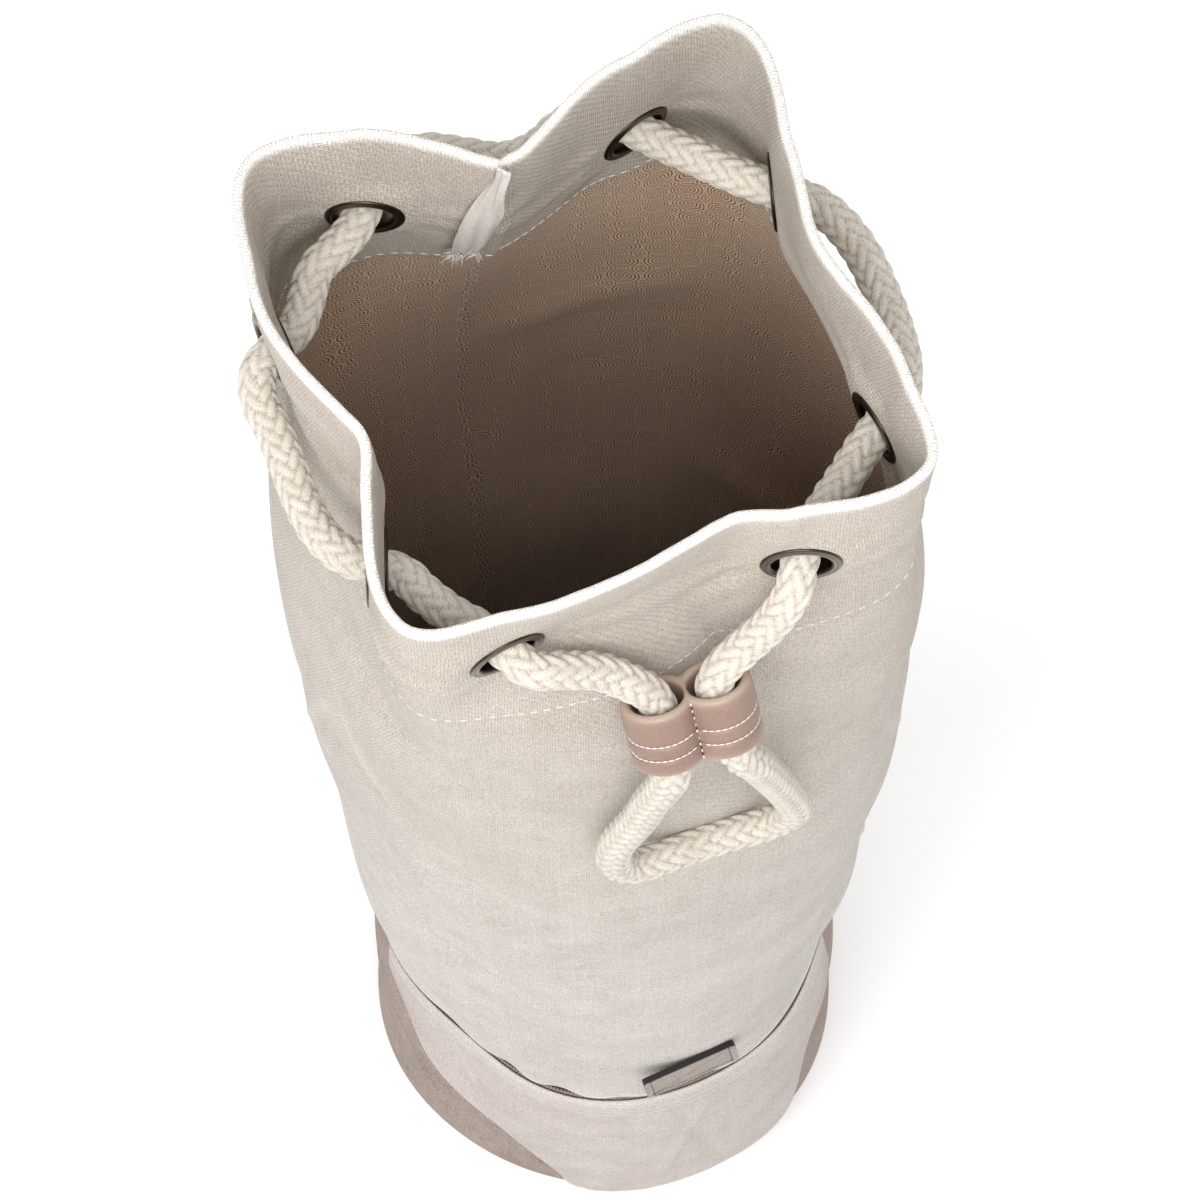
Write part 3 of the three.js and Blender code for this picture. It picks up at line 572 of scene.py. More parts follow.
# Columns: up, wide, deep, gathered.
SECTIONS = np.array([
    (0, 0.94, 0.94, 0), (0.012, 0.985, 0.985, 0), (0.035, 1, 1, 0), (0.09, 0.98, 0.99, 0),
    (0.15, 0.962, 0.98, 0), (0.235, 0.945, 0.965, 0), (0.32, 0.956, 0.97, 0), (0.42, 0.967, 0.98, 0),
    (0.53, 0.992, 1, 0.01), (0.62, 1.016, 1.02, 0.04), (0.7, 1.025, 1.03, 0.09), (0.78, 1.02, 1.03, 0.2),
    (0.85, 1, 1.02, 0.42), (0.922, 0.98, 1.005, 0.82), (0.963, 0.975, 1, 0.96), (1, 0.975, 1, 1),
])
# Columns: turn, reach, tuck, lift.
MOUTH_FOLDS = np.array([
    (-122, 1.1, 0, -0.006), (-107, 1, 0.07, -0.003), (-87, 0.88, 0.1, 0), (-61, 0.74, 0.03, 0.002),
    (-48, 0.83, 0.02, 0.002), (-27, 1, 0, 0), (-12, 0.84, 0.03, 0), (18, 0.64, 0, 0.002),
    (44, 0.75, 0, 0.002), (68, 1.04, 0, 0), (87, 0.83, -0.03, 0), (120, 0.59, -0.03, -0.006),
    (142, 0.93, 0.05, 0), (155, 1.12, 0.02, 0), (173, 0.99, 0.02, 0), (207, 0.78, 0.01, 0.002),
    (219, 0.87, 0, 0),
])
# Columns: turn, spread, up, length, depth, lean.
DENTS = [
    (221, 30, 0.235, 0.09, 0.085, -6), (-20, 26, 0.25, 0.09, 0.05, 0), (215, 16, 0.6, 0.12, 0.03, 20),
    (-22, 16, 0.74, 0.07, 0.035, -30), (-62, 14, 0.84, 0.08, 0.04, -10), (100, 30, 0.5, 0.1, 0.04, 20),
    (60, 24, 0.28, 0.08, 0.03, -15),
]
# Columns: turn, drop, twist.
EYELETS = [
    (-107, 0.45, 26), (-139.5, 0.5, -12), (-184.5, 0.55, 18), (-218.5, 0.5, -18), (-273.5, 0.62, 24),
    (-313, 0.57, -22), (-369, 0.52, 22), (-407.5, 0.48, -12),
]


def between(table, column, value, closed=False):
    """A smooth value between a table's rows, at an array of places given in its first column."""
    x, y = table[:, 0], table[:, column]
    if closed:
        x = np.concatenate([x[-2:] - 360, x, x[:3] + 360])
        y = np.concatenate([y[-2:], y, y[:3]])
        value = (value - table[0, 0]) % 360 + table[0, 0]
    slope = np.empty_like(y)
    slope[1:-1] = (y[2:] - y[:-2]) / (x[2:] - x[:-2])
    slope[0] = (y[1] - y[0]) / (x[1] - x[0])
    slope[-1] = (y[-1] - y[-2]) / (x[-1] - x[-2])
    i = np.clip(np.searchsorted(x, value, side="left") - 1, 0, len(x) - 2)
    span = x[i + 1] - x[i]
    t = np.clip((value - x[i]) / span, 0, 1)
    start = (2 * t**3 - 3 * t**2 + 1) * y[i] + (t**3 - 2 * t**2 + t) * slope[i] * span
    return start + (3 * t**2 - 2 * t**3) * y[i + 1] + (t**3 - t**2) * slope[i + 1] * span


def turn_from(here, there):
    return (there - here + 180) % 360 - 180


print("sections:", len(SECTIONS), "folds of the mouth:", len(MOUTH_FOLDS))

# %% [markdown]
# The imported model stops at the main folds. Here the cloth also gets its creases: sharp lines where the
# canvas was once folded flat, broad soft valleys where it gives way, small pleats that fan out from each
# eyelet, and a slow waviness. They are a millimetre or so high, and all the layers follow them.

# %% Creases and waves of the cloth
# Columns: turn and up of each end, half width in metres, height in metres (below 0 is a valley).
SHARP_CREASES = [
    (-150, 0.53, -119, 0.498, 0.0016, 0.0009), (-121, 0.5, -96, 0.39, 0.0016, 0.0009),
    (-172, 0.60, -150, 0.76, 0.0016, 0.0009), (-152, 0.80, -132, 0.66, 0.0018, 0.0009),
    (-128, 0.56, -104, 0.60, 0.0018, 0.0006), (-30, 0.74, -12, 0.62, 0.0018, 0.0008),
    (-24, 0.52, -8, 0.42, 0.0018, 0.0008), (-70, 0.36, -44, 0.30, 0.0018, 0.0006),
    (-152, 0.125, -113, 0.03, 0.0022, 0.0018), (-126, 0.098, -88, 0.028, 0.0018, 0.0012),
    (30, 0.50, 66, 0.62, 0.0018, 0.0009),
    (74, 0.70, 110, 0.66, 0.0018, 0.0009), (132, 0.36, 166, 0.48, 0.0018, 0.0009),
    (150, 0.70, 178, 0.62, 0.0018, 0.0009), (20, 0.12, 64, 0.07, 0.0018, 0.001),
    (112, 0.05, 158, 0.12, 0.0018, 0.001),
]
SOFT_CREASES = [
    (-146, 0.50, -104, 0.44, 0.010, -0.0022), (-186, 0.66, -136, 0.70, 0.010, -0.0022),
    (-19, 0.80, -50, 0.86, 0.008, -0.0026), (-69, 0.93, -54, 0.84, 0.007, -0.0026),
    (-40, 0.66, -84, 0.72, 0.012, -0.0018), (-150, 0.86, -122, 0.82, 0.008, -0.0022),
    (-96, 0.56, -60, 0.46, 0.014, -0.0014), (-112, 0.30, -78, 0.36, 0.014, -0.0014),
    (-28, 0.38, -60, 0.42, 0.012, -0.0018), (24, 0.56, 72, 0.58, 0.012, -0.0024),
    (66, 0.78, 120, 0.74, 0.010, -0.0024), (124, 0.44, 172, 0.5, 0.012, -0.0022),
    (6, 0.36, 52, 0.30, 0.012, -0.002),
]
WAVES = 18
WAVE_HEIGHT = 0.6 * MM
PLEATS = 9
PLEAT_START = 12 * MM
PLEAT_REACH = 0.03
PLEAT_HEIGHT = 0.75 * MM
MEAN_RADIUS = 0.076
SEAM_TURN = 121
SEAM_WIDTH = 1.1 * MM
SEAM_DEPTH = 0.7 * MM

wave_source = random.Random(7)
WAVE_TABLE = [
    (wave_source.randint(2, 9), wave_source.uniform(8, 46), wave_source.uniform(0, 2 * math.pi))
    for _ in range(WAVES)
]


def crease_relief(turn, up, creases):
    total = np.zeros(np.broadcast(turn, up).shape)
    for turn_a, up_a, turn_b, up_b, width, height in creases:
        across = np.radians(turn_from(turn_a, turn)) * MEAN_RADIUS
        rise = (up - up_a) * BAG_HEIGHT
        run = np.array([math.radians(turn_from(turn_a, turn_b)) * MEAN_RADIUS, (up_b - up_a) * BAG_HEIGHT])
        length = np.linalg.norm(run)
        run /= length
        share = np.clip((across * run[0] + rise * run[1]) / length, 0, 1)
        off = np.hypot(across - share * length * run[0], rise - share * length * run[1])
        fade = np.sin(np.pi * np.clip(share, 0.02, 0.98)) ** 0.6
        total += height * fade * np.exp(-((off / width) ** 1.5))
    return total


def wave_relief(turn, up):
    total = np.zeros(np.broadcast(turn, up).shape)
    for lobes, rise, phase in WAVE_TABLE:
        total += np.sin(np.radians(turn) * lobes + up * rise + phase) / math.sqrt(WAVES)
    return WAVE_HEIGHT * total


def pleat_relief(turn, height, radius):
    total = np.zeros(np.broadcast(turn, height).shape)
    for eyelet_turn, drop, _ in EYELETS:
        arc = np.radians(turn_from(eyelet_turn, turn)) * radius
        rise = height - (BAG_HEIGHT - drop * HEM_DEPTH)
        reach = np.hypot(arc, rise)
        fan = np.cos(PLEATS * np.arctan2(arc, -rise) + eyelet_turn)
        near = np.clip(reach / PLEAT_START, 0, 1) ** 2
        below = 0.35 + 0.65 / (1 + np.exp(rise / 0.006))
        total += PLEAT_HEIGHT * fan * near * below * np.exp(-((reach / PLEAT_REACH) ** 2))
    return total


def outer(turn, height, relief=True):
    """Places on the bag's outer face. Height is along the cloth's rise, from 0 to the bag's height."""
    up = height / BAG_HEIGHT
    wide = HALF_WIDTH * between(SECTIONS, 1, up)
    deep = HALF_DEPTH * between(SECTIONS, 2, up)
    gathered = between(SECTIONS, 3, up)
    cosine, sine = np.cos(np.radians(turn)), np.sin(np.radians(turn))
    oval = wide * deep / np.hypot(deep * cosine, wide * sine)
    tucked = between(MOUTH_FOLDS, 2, turn, True) * np.exp(-(((up - TUCK_UP) / TUCK_LENGTH) ** 2))
    reach = 1 + (between(MOUTH_FOLDS, 1, turn, True) - 1) * gathered - tucked
    radius = oval * reach
    for dent_turn, spread, dent_up, length, depth, lean in DENTS:
        rise = (up - dent_up) / length
        off = turn_from(dent_turn + lean * rise, turn)
        radius = radius - HALF_WIDTH * depth * np.exp(-((off / spread) ** 2) - rise**2)
    for eyelet_turn, drop, twist in EYELETS:
        arc = np.radians(turn_from(eyelet_turn, turn)) * radius
        rise = height - (BAG_HEIGHT - drop * HEM_DEPTH)
        fade = np.exp(-(arc**2 + rise**2) / PUCKER_REACH**2)
        radius = radius - math.tan(math.radians(twist)) * arc * fade
    if relief:
        radius = radius + crease_relief(turn, up, SHARP_CREASES + SOFT_CREASES) + wave_relief(turn, up)
        radius = radius + pleat_relief(turn, height, radius)
        seam = turn_from(SEAM_TURN, turn) * math.radians(1) * radius
        radius = radius - SEAM_DEPTH * np.exp(-((seam / SEAM_WIDTH) ** 2))
    lift = between(MOUTH_FOLDS, 3, turn, True) * BAG_HEIGHT * gathered
    return np.stack(np.broadcast_arrays(radius * cosine, radius * sine, height + lift), axis=-1)


print("creases:", len(SHARP_CREASES), "sharp,", len(SOFT_CREASES), "soft; waves:", WAVES)

# %% [markdown]
# Layers lie at their own depth in the wall, measured level, so a layer's rows stay at their height. Under
# each eyelet the two metal halves press the cloth flat, so there the cloth is drawn into the eyelet's own
# plane, fully under the flange and fading out round it.

# %% Depth in the wall, and the eyelets' flat seats
HEM_THICKNESS = 3.4 * MM
FLAT_REACH = 9.6 * MM
FLAT_FADE = 6 * MM
SEAT_NEAR = 25 * MM


def unit(vector):
    return vector / np.linalg.norm(vector, axis=-1, keepdims=True)


def eyelet_seat(eyelet_turn, drop):
    height = BAG_HEIGHT - drop * HEM_DEPTH
    sides = np.array([eyelet_turn - SEAT_TURN, eyelet_turn + SEAT_TURN])
    left, right = outer(sides, np.full(2, height), False)
    low = outer(sides, np.full(2, height - SEAT_RISE), False).mean(axis=0)
    high = outer(sides, np.full(2, height + SEAT_RISE), False).mean(axis=0)
    return (left + right) / 2, unit(np.cross(right - left, high - low))


SEATS = [eyelet_seat(turn, drop) for turn, drop, _ in EYELETS]


def in_cloth(turn, height, depth):
    """Places that lie that deep in the wall, pressed flat under the eyelets."""
    turn, height, depth = np.broadcast_arrays(*(np.asarray(v, float) for v in (turn, height, depth)))
    along = outer(turn + 1, height) - outer(turn - 1, height)
    level = unit(np.stack([along[..., 1], -along[..., 0], np.zeros(turn.shape)], axis=-1))
    place = outer(turn, height) - level * depth[..., None]
    for middle, normal in SEATS:
        offset = place - middle
        out = offset @ normal
        lateral = np.linalg.norm(offset - out[..., None] * normal, axis=-1)
        share = np.clip((FLAT_REACH + FLAT_FADE - lateral) / FLAT_FADE, 0, 1)
        share = share * share * (3 - 2 * share) * (np.abs(out) < SEAT_NEAR)
        place = place + normal * ((-depth - out) * share)[..., None]
    return place


print("eyelet seats:", [tuple(round(v, 3) for v in middle) for middle, _ in SEATS[:2]], "and six more")

# %% [markdown]
# The body is one wall of canvas. Its profile, as a tailor would draw it, goes up the outside, rolls over
# the rim, comes down inside as the hem, and turns back up behind it to make the pocket that holds the
# lining's edge. Laid round the whole bag, that profile is a closed piece of cloth.

# %% The body's profile
CANVAS_CLOTH = 1 * MM
HEM_FOOT = BAG_HEIGHT - HEM_DEPTH
HEM_POCKET_TOP = HEM_FOOT + 9 * MM
HEM_FOLD = 2.4 * MM
BAND_HEIGHT = 0.152
ZIP_WIDTH = 3.4 * MM
GAP = 0.3 * MM
ZIP_FROM, ZIP_TO = -168, -12
COLUMNS = 288
RIM_STEPS = 7
RIM_THINNER = 1.1 * MM
RIM_TAPER = 7 * MM
TURNS = np.linspace(-180, 180, COLUMNS + 1) + SEAM_TURN
# Columns: turn, spread in degrees, how far the canvas lifts off the zip there, in metres.
GAPES = [
    (-139, 5, 0.0016), (-117, 5, 0.0046), (-102, 5, 0.0044), (-86, 4, 0.0014), (-66, 6, 0.0048),
    (-36, 9, 0.0018),
]
ZIP_END_FADE = 0.7
LIP_REACH = 4 * MM
LIP_HEIGHT = 2.4 * MM
CREASE_SHINE = 0.25
SHINE_HEIGHT = 0.9 * MM
RIM_SHINE = 0.9
RIM_SHINE_OUTSIDE = 0.9 * MM
RIM_SHINE_INSIDE = 0.5 * MM


def gaping(turn):
    return sum(rise * np.exp(-((turn_from(place, turn) / spread) ** 2)) for place, spread, rise in GAPES)


def body_foot(turn):
    """The height of the canvas's lower edge: it rises over the zip, and most where it gapes."""
    off_middle = np.abs(turn_from((ZIP_FROM + ZIP_TO) / 2, turn))
    along_zip = 1 / (1 + np.exp((off_middle - (ZIP_TO - ZIP_FROM) / 2) / ZIP_END_FADE))
    return BAND_HEIGHT + GAP + along_zip * (ZIP_WIDTH + GAP + gaping(turn))


def lip_flare(turn):
    """How far the canvas stands out at its lower edge: it covers the zip, but for the places that gape."""
    return 1.0 * MM - 0.28 * gaping(turn)


def rim_wander(turn):
    """Small rises and dips of the folded rim, which is never quite even."""
    angle = np.radians(turn)
    return 0.35 * MM * (np.sin(23 * angle + 1) + np.sin(37 * angle) + 0.7 * np.sin(61 * angle + 2)) / 2


def crease_wear_and_highlight(turn, height):
    """Painted highlight, with a little wear, along the sharp creases of the outer face: paler on the ridges.
    """
    ridge = crease_relief(turn, height / BAG_HEIGHT, SHARP_CREASES) / SHINE_HEIGHT
    return CREASE_SHINE * np.clip(ridge, 0, 1)


def body_profile():
    """Rows of (height, depth, tint), each an array over the turns or one number for all of them."""
    foot = body_foot(TURNS)
    flare = lip_flare(TURNS)
    # Painted highlight: these first rows pale the canvas along its folded lower edge, over the zip.
    rows = [
        (foot + rise, -flare * math.exp(-rise / LIP_REACH) + inwards, shade)
        for rise, inwards, shade in (
            (0.0, 0.55 * MM, 0.9), (0.15 * MM, 0.15 * MM, 1.0), (0.5 * MM, 0, 1.0), (1.2 * MM, 0, 0.5),
            (LIP_HEIGHT, 0, 0.1),
        )
    ]
    for share in np.linspace(0.03, 1, 190) ** 0.97:
        height = foot + LIP_HEIGHT + (HEM_FOOT - 4 * MM - foot - LIP_HEIGHT) * share
        rows.append((height, -flare * np.exp(-(height - foot) / LIP_REACH), crease_wear_and_highlight(TURNS, height)))
    half = (HEM_THICKNESS - RIM_THINNER) / 2
    roll = BAG_HEIGHT - half
    wander = rim_wander(TURNS)
    # Painted highlight: from here over the rim's roll the tint runs near-white, fading down both faces.
    for height in np.linspace(HEM_FOOT - 2 * MM, roll, 46):
        rim = RIM_SHINE * math.exp(-(roll - height) / RIM_SHINE_OUTSIDE)
        wandered = height + wander * math.exp(-(roll - height) / LIP_REACH)
        rows.append((wandered, 0.0, rim + crease_wear_and_highlight(TURNS, height)))
    for angle in np.linspace(0, math.pi, RIM_STEPS + 2)[1:-1]:
        rows.append((roll + half * math.sin(angle) + wander, half - half * math.cos(angle), 1.0))
    for height in np.linspace(roll, HEM_FOOT + 1 * MM, 44):
        fade = math.exp(-(roll - height) / RIM_TAPER)
        rim = RIM_SHINE * math.exp(-(roll - height) / RIM_SHINE_INSIDE)
        wandered = height + wander * math.exp(-(roll - height) / LIP_REACH)
        rows.append((wandered, HEM_THICKNESS - RIM_THINNER * fade, rim))
    rows += [(HEM_FOOT + 0.3 * MM, HEM_THICKNESS - 0.1 * MM, 0.0), (HEM_FOOT, HEM_THICKNESS - 0.5 * MM, 0.0)]
    rows += [(HEM_FOOT + 0.2 * MM, HEM_FOLD, 0.0), (HEM_POCKET_TOP, HEM_FOLD, 0.0)]
    rows.append((HEM_POCKET_TOP, CANVAS_CLOTH, 0.0))
    for share in np.linspace(0, 1, 50)[1:]:
        height = HEM_POCKET_TOP + (foot + 0.3 * MM - HEM_POCKET_TOP) * share
        rows.append((height, CANVAS_CLOTH - flare * np.exp(-(height - foot) / LIP_REACH), 0.0))
    rows.append(rows[0])
    return rows


def lay_profile(rows, turns=TURNS, closed=True):
    """The places, map and tints of a profile's rows laid round the bag."""
    shape = (len(rows), len(turns))
    height, depth, tint = (np.stack([np.broadcast_to(row[k], shape[1]) for row in rows]) for k in range(3))
    places = in_cloth(turns[None, :], height, depth)
    if closed:
        places[:, -1] = places[:, 0]
    step = np.linalg.norm(np.diff(places, axis=0), axis=2).mean(axis=1)
    rise = np.concatenate([[0], np.cumsum(step)])
    around = np.radians(turns) * MEAN_RADIUS
    cloth_map = np.stack(np.broadcast_arrays(around[None, :], rise[:, None]), axis=2)
    return places, cloth_map, tint


body_places, body_map, body_tint = lay_profile(body_profile())
body = finish_piece(lay_sheet(body_places, body_map, body_tint), "canvas_body", canvas)

# %% [markdown]
# The eyelet holes are cut through the hem with a boolean, one plain round cutter for each. The cut edge
# is hidden by the metal, as on the real bag, so it needs no finish of its own.

# %% The eyelet holes
EYELET_RADIUS = 6.5 * MM
EYELET_METAL = 0.7 * MM


def seat_matrix(middle, normal):
    """From an eyelet's own frame, with its axis along Z, to its place in the middle of the hem."""
    turn = Vector((0, 0, 1)).rotation_difference(Vector(normal)).to_matrix().to_4x4()
    return Matrix.Translation(Vector(middle - normal * HEM_THICKNESS / 2)) @ turn


def apply_cut(piece, bm_cutters):
    cutter = finish_piece(bm_cutters, "cutter", canvas)
    cut = piece.modifiers.new("cut", "BOOLEAN")
    cut.operation = "DIFFERENCE"
    cut.solver = "EXACT"
    cut.object = cutter
    result = bpy.data.meshes.new_from_object(piece.evaluated_get(bpy.context.evaluated_depsgraph_get()))
    piece.modifiers.remove(cut)
    piece.data = result
    bpy.data.objects.remove(cutter)
    print(piece.name, "faces after the cut:", len(result.polygons))


cutters = bmesh.new()
for middle, normal in SEATS:
    bmesh.ops.create_cone(
        cutters, cap_ends=True, segments=28, radius1=EYELET_RADIUS + EYELET_METAL + 0.1 * MM,
        radius2=EYELET_RADIUS + EYELET_METAL + 0.1 * MM, depth=12 * MM, matrix=seat_matrix(middle, normal),
    )
apply_cut(body, cutters)
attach(body, "root")
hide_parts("body")

# %% [markdown]
# The lining is a loose cup of thin printed cotton. It hangs from the hem's pocket, lies close to the
# wall and is closed by a round floor. Thin cloth wrinkles more than canvas, so it gets waves of its own
# that only ever go inwards, away from the wall.

# %% The lining
LINING_LOW = 3.2 * MM
LINING_HIGH = 1.3 * MM
LINING_CLOTH = 0.8 * MM
LAP_TOP = BAND_HEIGHT + 12 * MM
FLOOR_TOP = 1.9 * MM


def loose(turn, height):
    """How far the lining stands off the wall: upright ripples that grow towards the middle of the bag."""
    angle = np.radians(turn)
    ripple = np.sin(angle * 11 + 2 * np.sin(height * 14)) + np.sin(angle * 17 + height * 30)
    hang = np.clip((HEM_FOOT - height) / 0.06, 0, 1)
    return hang * (0.5 + 0.25 * ripple) * 1.2 * MM


def lining_profile():
    heights = np.linspace(FLOOR_TOP + LINING_CLOTH, HEM_POCKET_TOP - GAP, 110)
    rows = []
    for inside, order in ((False, heights), (True, heights[::-1])):
        for height in order:
            depth = LINING_LOW + (LINING_HIGH - LINING_LOW) * np.clip((height - LAP_TOP) / 0.004, 0, 1)
            depth = depth + loose(TURNS, height) + (LINING_CLOTH if inside else 0)
            rows.append((height, depth, 0.0))
    return rows


def closed_cup(places, cloth_map, tint, shares, rise):
    """Adds a flat floor to a sleeve's first and last row, drawn in to the middle by shares of the radius."""
    def floor_rows(row, height):
        middle = np.array([0, 0, height])
        return np.stack([middle + (row - middle) * (share, share, 0) for share in shares])
    low, high = places[0], places[-1]
    outer_floor = floor_rows(low, low[0, 2] - rise)[::-1]
    inner_floor = floor_rows(high, high[0, 2])
    places = np.concatenate([outer_floor, places, inner_floor])
    flat = [row[:, :2] for row in (*outer_floor, *inner_floor)]
    maps = [*flat[:len(shares)], *cloth_map, *flat[len(shares):]]
    tints = [tint[0]] * len(shares) + [*tint] + [tint[-1]] * len(shares)
    return places, np.stack(maps), np.stack(tints)


FLOOR_SHARES = [0.97, 0.9, 0.75, 0.5, 0.25, 0]
lining_parts = closed_cup(*lay_profile(lining_profile()), FLOOR_SHARES, LINING_CLOTH)
lining = finish_piece(lay_sheet(*lining_parts), "printed_lining", print_cloth)
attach(lining, "root")
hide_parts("lining")

# %% [markdown]
# The foot of the bag is a band of heavier cloth, coloured darker as painted shade beside the pocket's panel,
# with its top tucked up inside the body, and a round base sewn in below. Both are laid like the body, with a
# sewn groove where they meet.

# %% The band and the base
LAP_DEPTH = CANVAS_CLOTH + GAP
BASE_CLOTH = 1.6 * MM
BAND_INSIDE = LAP_DEPTH + BASE_CLOTH


def band_profile():
    # Painted highlight: the tint pales the band's rolled foot and its top edge.
    rows = [(0.6 * MM, BASE_CLOTH * 0.6, 0.3), (0.0, BASE_CLOTH * 0.3, 0.6)]
    rows += [(0.35 * MM, 0.0, 0.8), (1.2 * MM, -0.15 * MM, 0.4)]
    rows += [(height, 0.0, 0.0) for height in np.linspace(2.4 * MM, BAND_HEIGHT - 0.6 * MM, 84)]
    rows += [(BAND_HEIGHT - 0.1 * MM, 0.35 * MM, 0.4), (BAND_HEIGHT, LAP_DEPTH, 0.0)]
    rows += [(LAP_TOP - 0.4 * MM, LAP_DEPTH, 0.0), (LAP_TOP, LAP_DEPTH + BASE_CLOTH / 2, 0.0)]
    rows += [(height, BAND_INSIDE, 0.0) for height in np.linspace(LAP_TOP - 0.4 * MM, 0.6 * MM, 24)]
    return rows + rows[:1]


band = finish_piece(lay_sheet(*lay_profile(band_profile())), "base_band_cloth", shaded_base_cloth)
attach(band, "root")
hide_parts("base_band")

# Painted highlight: the tint pales the disc's lower rim.
disc_rows = [(0.15 * MM, LINING_LOW - 0.2 * MM, 0.3), (0.8 * MM, LINING_LOW - 0.25 * MM, 0.5)]
disc_rows.append((1.4 * MM, LINING_LOW, 0.0))
disc_parts = closed_cup(*lay_profile(disc_rows), [0.99, *FLOOR_SHARES], 0.15 * MM)
disc = finish_piece(lay_sheet(*disc_parts), "base_disc_cloth", shaded_base_cloth)
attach(disc, "root")
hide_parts("base_disc")

# %% [markdown]
# The pocket's panel is a cloth laid on the band, paler than the band's painted shade, closed by the zip above
# and cut in a curve below.
# It swells a little where a hand would reach in. Its rows run from the curved lower edge to the zip.

# %% The pocket panel
# Columns: turn, low edge as a share of the band's height.
POCKET_EDGE = np.array([
    (-165, 0.9), (-154, 0.8), (-143, 0.66), (-119, 0.52), (-107, 0.35), (-95, 0.1), (-80, 0.05), (-50, 0.05),
    (-38, 0.14), (-28, 0.42), (-20, 0.62), (-12, 0.85),
])
POCKET_CLOTH = 1.6 * MM
POCKET_SEAT = 0.4 * MM
POCKET_SWELL = 2.5 * MM
POCKET_TURNS = np.linspace(ZIP_FROM + 3, ZIP_TO, 220)
# Columns: share across the panel at the bottom and the top, half width and height.
PANEL_CREASES = [
    (0.30, 0.12, 0.010, -0.0009), (0.36, 0.17, 0.008, -0.0007), (0.72, 0.60, 0.016, -0.0010),
    (0.55, 0.68, 0.012, 0.0008),
]


def panel_face(across, share, cloth=POCKET_CLOTH):
    """Turn, height and depth of the panel's outer face, at shares across it and up it."""
    turn = POCKET_TURNS[0] + (POCKET_TURNS[-1] - POCKET_TURNS[0]) * across
    low = BAND_HEIGHT * between(POCKET_EDGE, 1, turn)
    arch = math.sin(math.pi * share)
    swell = POCKET_SWELL * np.sin(np.pi * across) * math.sqrt(max(0, arch))
    for bottom, top, width, height in PANEL_CREASES:
        swell = swell + height * arch * np.exp(-(((across - bottom - (top - bottom) * share) / width) ** 2))
    return turn, low + (BAND_HEIGHT - low) * share, -(POCKET_SEAT + swell + cloth)


def pocket_rows():
    """Rows of (height, depth, tint) for the panel's outer face and back, from the low edge to the top."""
    across = np.linspace(0, 1, len(POCKET_TURNS))
    side = np.clip(np.minimum(across, 1 - across) / 0.008, 0.25, 1)
    rows = []
    for share in np.linspace(0, 1, 60):
        edge = 1 - 0.55 * math.exp(-((min(share, 1 - share) * 60) ** 1.2))
        _, height, depth = panel_face(across, share, POCKET_CLOTH * edge * side)
        # Painted highlight: the tint pales the panel along its lower edge, and a little along its top.
        rows.append((height, depth, math.exp(-share * 45) * 0.9 + math.exp(-(1 - share) * 70) * 0.5))
    for share in np.linspace(1, 0, 16):
        _, height, depth = panel_face(across, share, 0)
        rows.append((height, depth, 0.0))
    return rows + rows[:1]


panel_bm = closed_ends(lay_sheet(*lay_profile(pocket_rows(), POCKET_TURNS, closed=False)))
panel = finish_piece(panel_bm, "pocket_panel_cloth", pocket_cloth)
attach(panel, "root")
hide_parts("pocket_panel")

# %% [markdown]
# The zip is closed. What shows is a narrow strip of tape with the fine coil along its middle, wider
# where the canvas stands off it. The coil is a few hundred small tilted beads, each with few faces.

# %% The zip
ZIP_TURNS = np.linspace(ZIP_FROM, ZIP_TO, 200)
COIL_PITCH = 1.25 * MM
COIL_SIZE = (0.4 * MM, 1.15 * MM, 0.5 * MM)
COIL_TILT = 24
COIL_STAGGER = 0.2
COIL_RISE = 2.4 * MM
COIL_HALF = 0.8 * MM
COIL_DEPTH = 0.2 * MM


def tape_rows():
    low, high = BAND_HEIGHT + 0.1 * MM, BAND_HEIGHT + GAP + ZIP_WIDTH + 5.6 * MM
    front = [(low + (high - low) * share, 0.75 * MM, 0.0) for share in np.linspace(0, 1, 7)]
    back = [(low + (high - low) * share, 0.98 * MM, 0.0) for share in np.linspace(1, 0, 3)]
    return front + back + front[:1]


def wall_frames(turn, height, depth):
    """Places in the wall, and the directions along the row, up and out at each of them."""
    turn, height, depth = (np.atleast_1d(v).astype(float) for v in np.broadcast_arrays(turn, height, depth))
    here = in_cloth(turn, height, depth)
    right = unit(in_cloth(turn + 0.5, height, depth) - here)
    out = unit(np.cross(right, in_cloth(turn, height + MM, depth) - here))
    return here, right, np.cross(out, right), out


def one_bead(sides):
    """The points and faces of a round bead of radius 1."""
    bm = bmesh.new()
    bmesh.ops.create_uvsphere(bm, u_segments=sides[0], v_segments=sides[1], radius=1)
    bm.verts.index_update()
    points = np.array([vert.co[:] for vert in bm.verts])
    faces = [[vert.index for vert in face.verts] for face in bm.faces]
    bm.free()
    return points, faces


def lay_beads(middles, along, across, out, size, tilt=0.0, sides=(6, 4)):
    """Beads at all the middles, with their sizes given along, across and out, turned by the tilt."""
    points, faces = one_bead(sides)
    tilt = np.radians(np.broadcast_to(tilt, len(middles)))[:, None]
    first = along * np.cos(tilt) + across * np.sin(tilt)
    second = across * np.cos(tilt) - along * np.sin(tilt)
    size = np.broadcast_to(size, (len(middles), 3))
    spokes = np.stack([first * size[:, :1], second * size[:, 1:2], out * size[:, 2:]], axis=1)
    places = middles[:, None] + np.einsum("pk,nkx->npx", points, spokes)
    starts = range(0, len(middles) * len(points), len(points))
    numbers = [[index + start for index in face] for start in starts for face in faces]
    return places.reshape(-1, 3), numbers


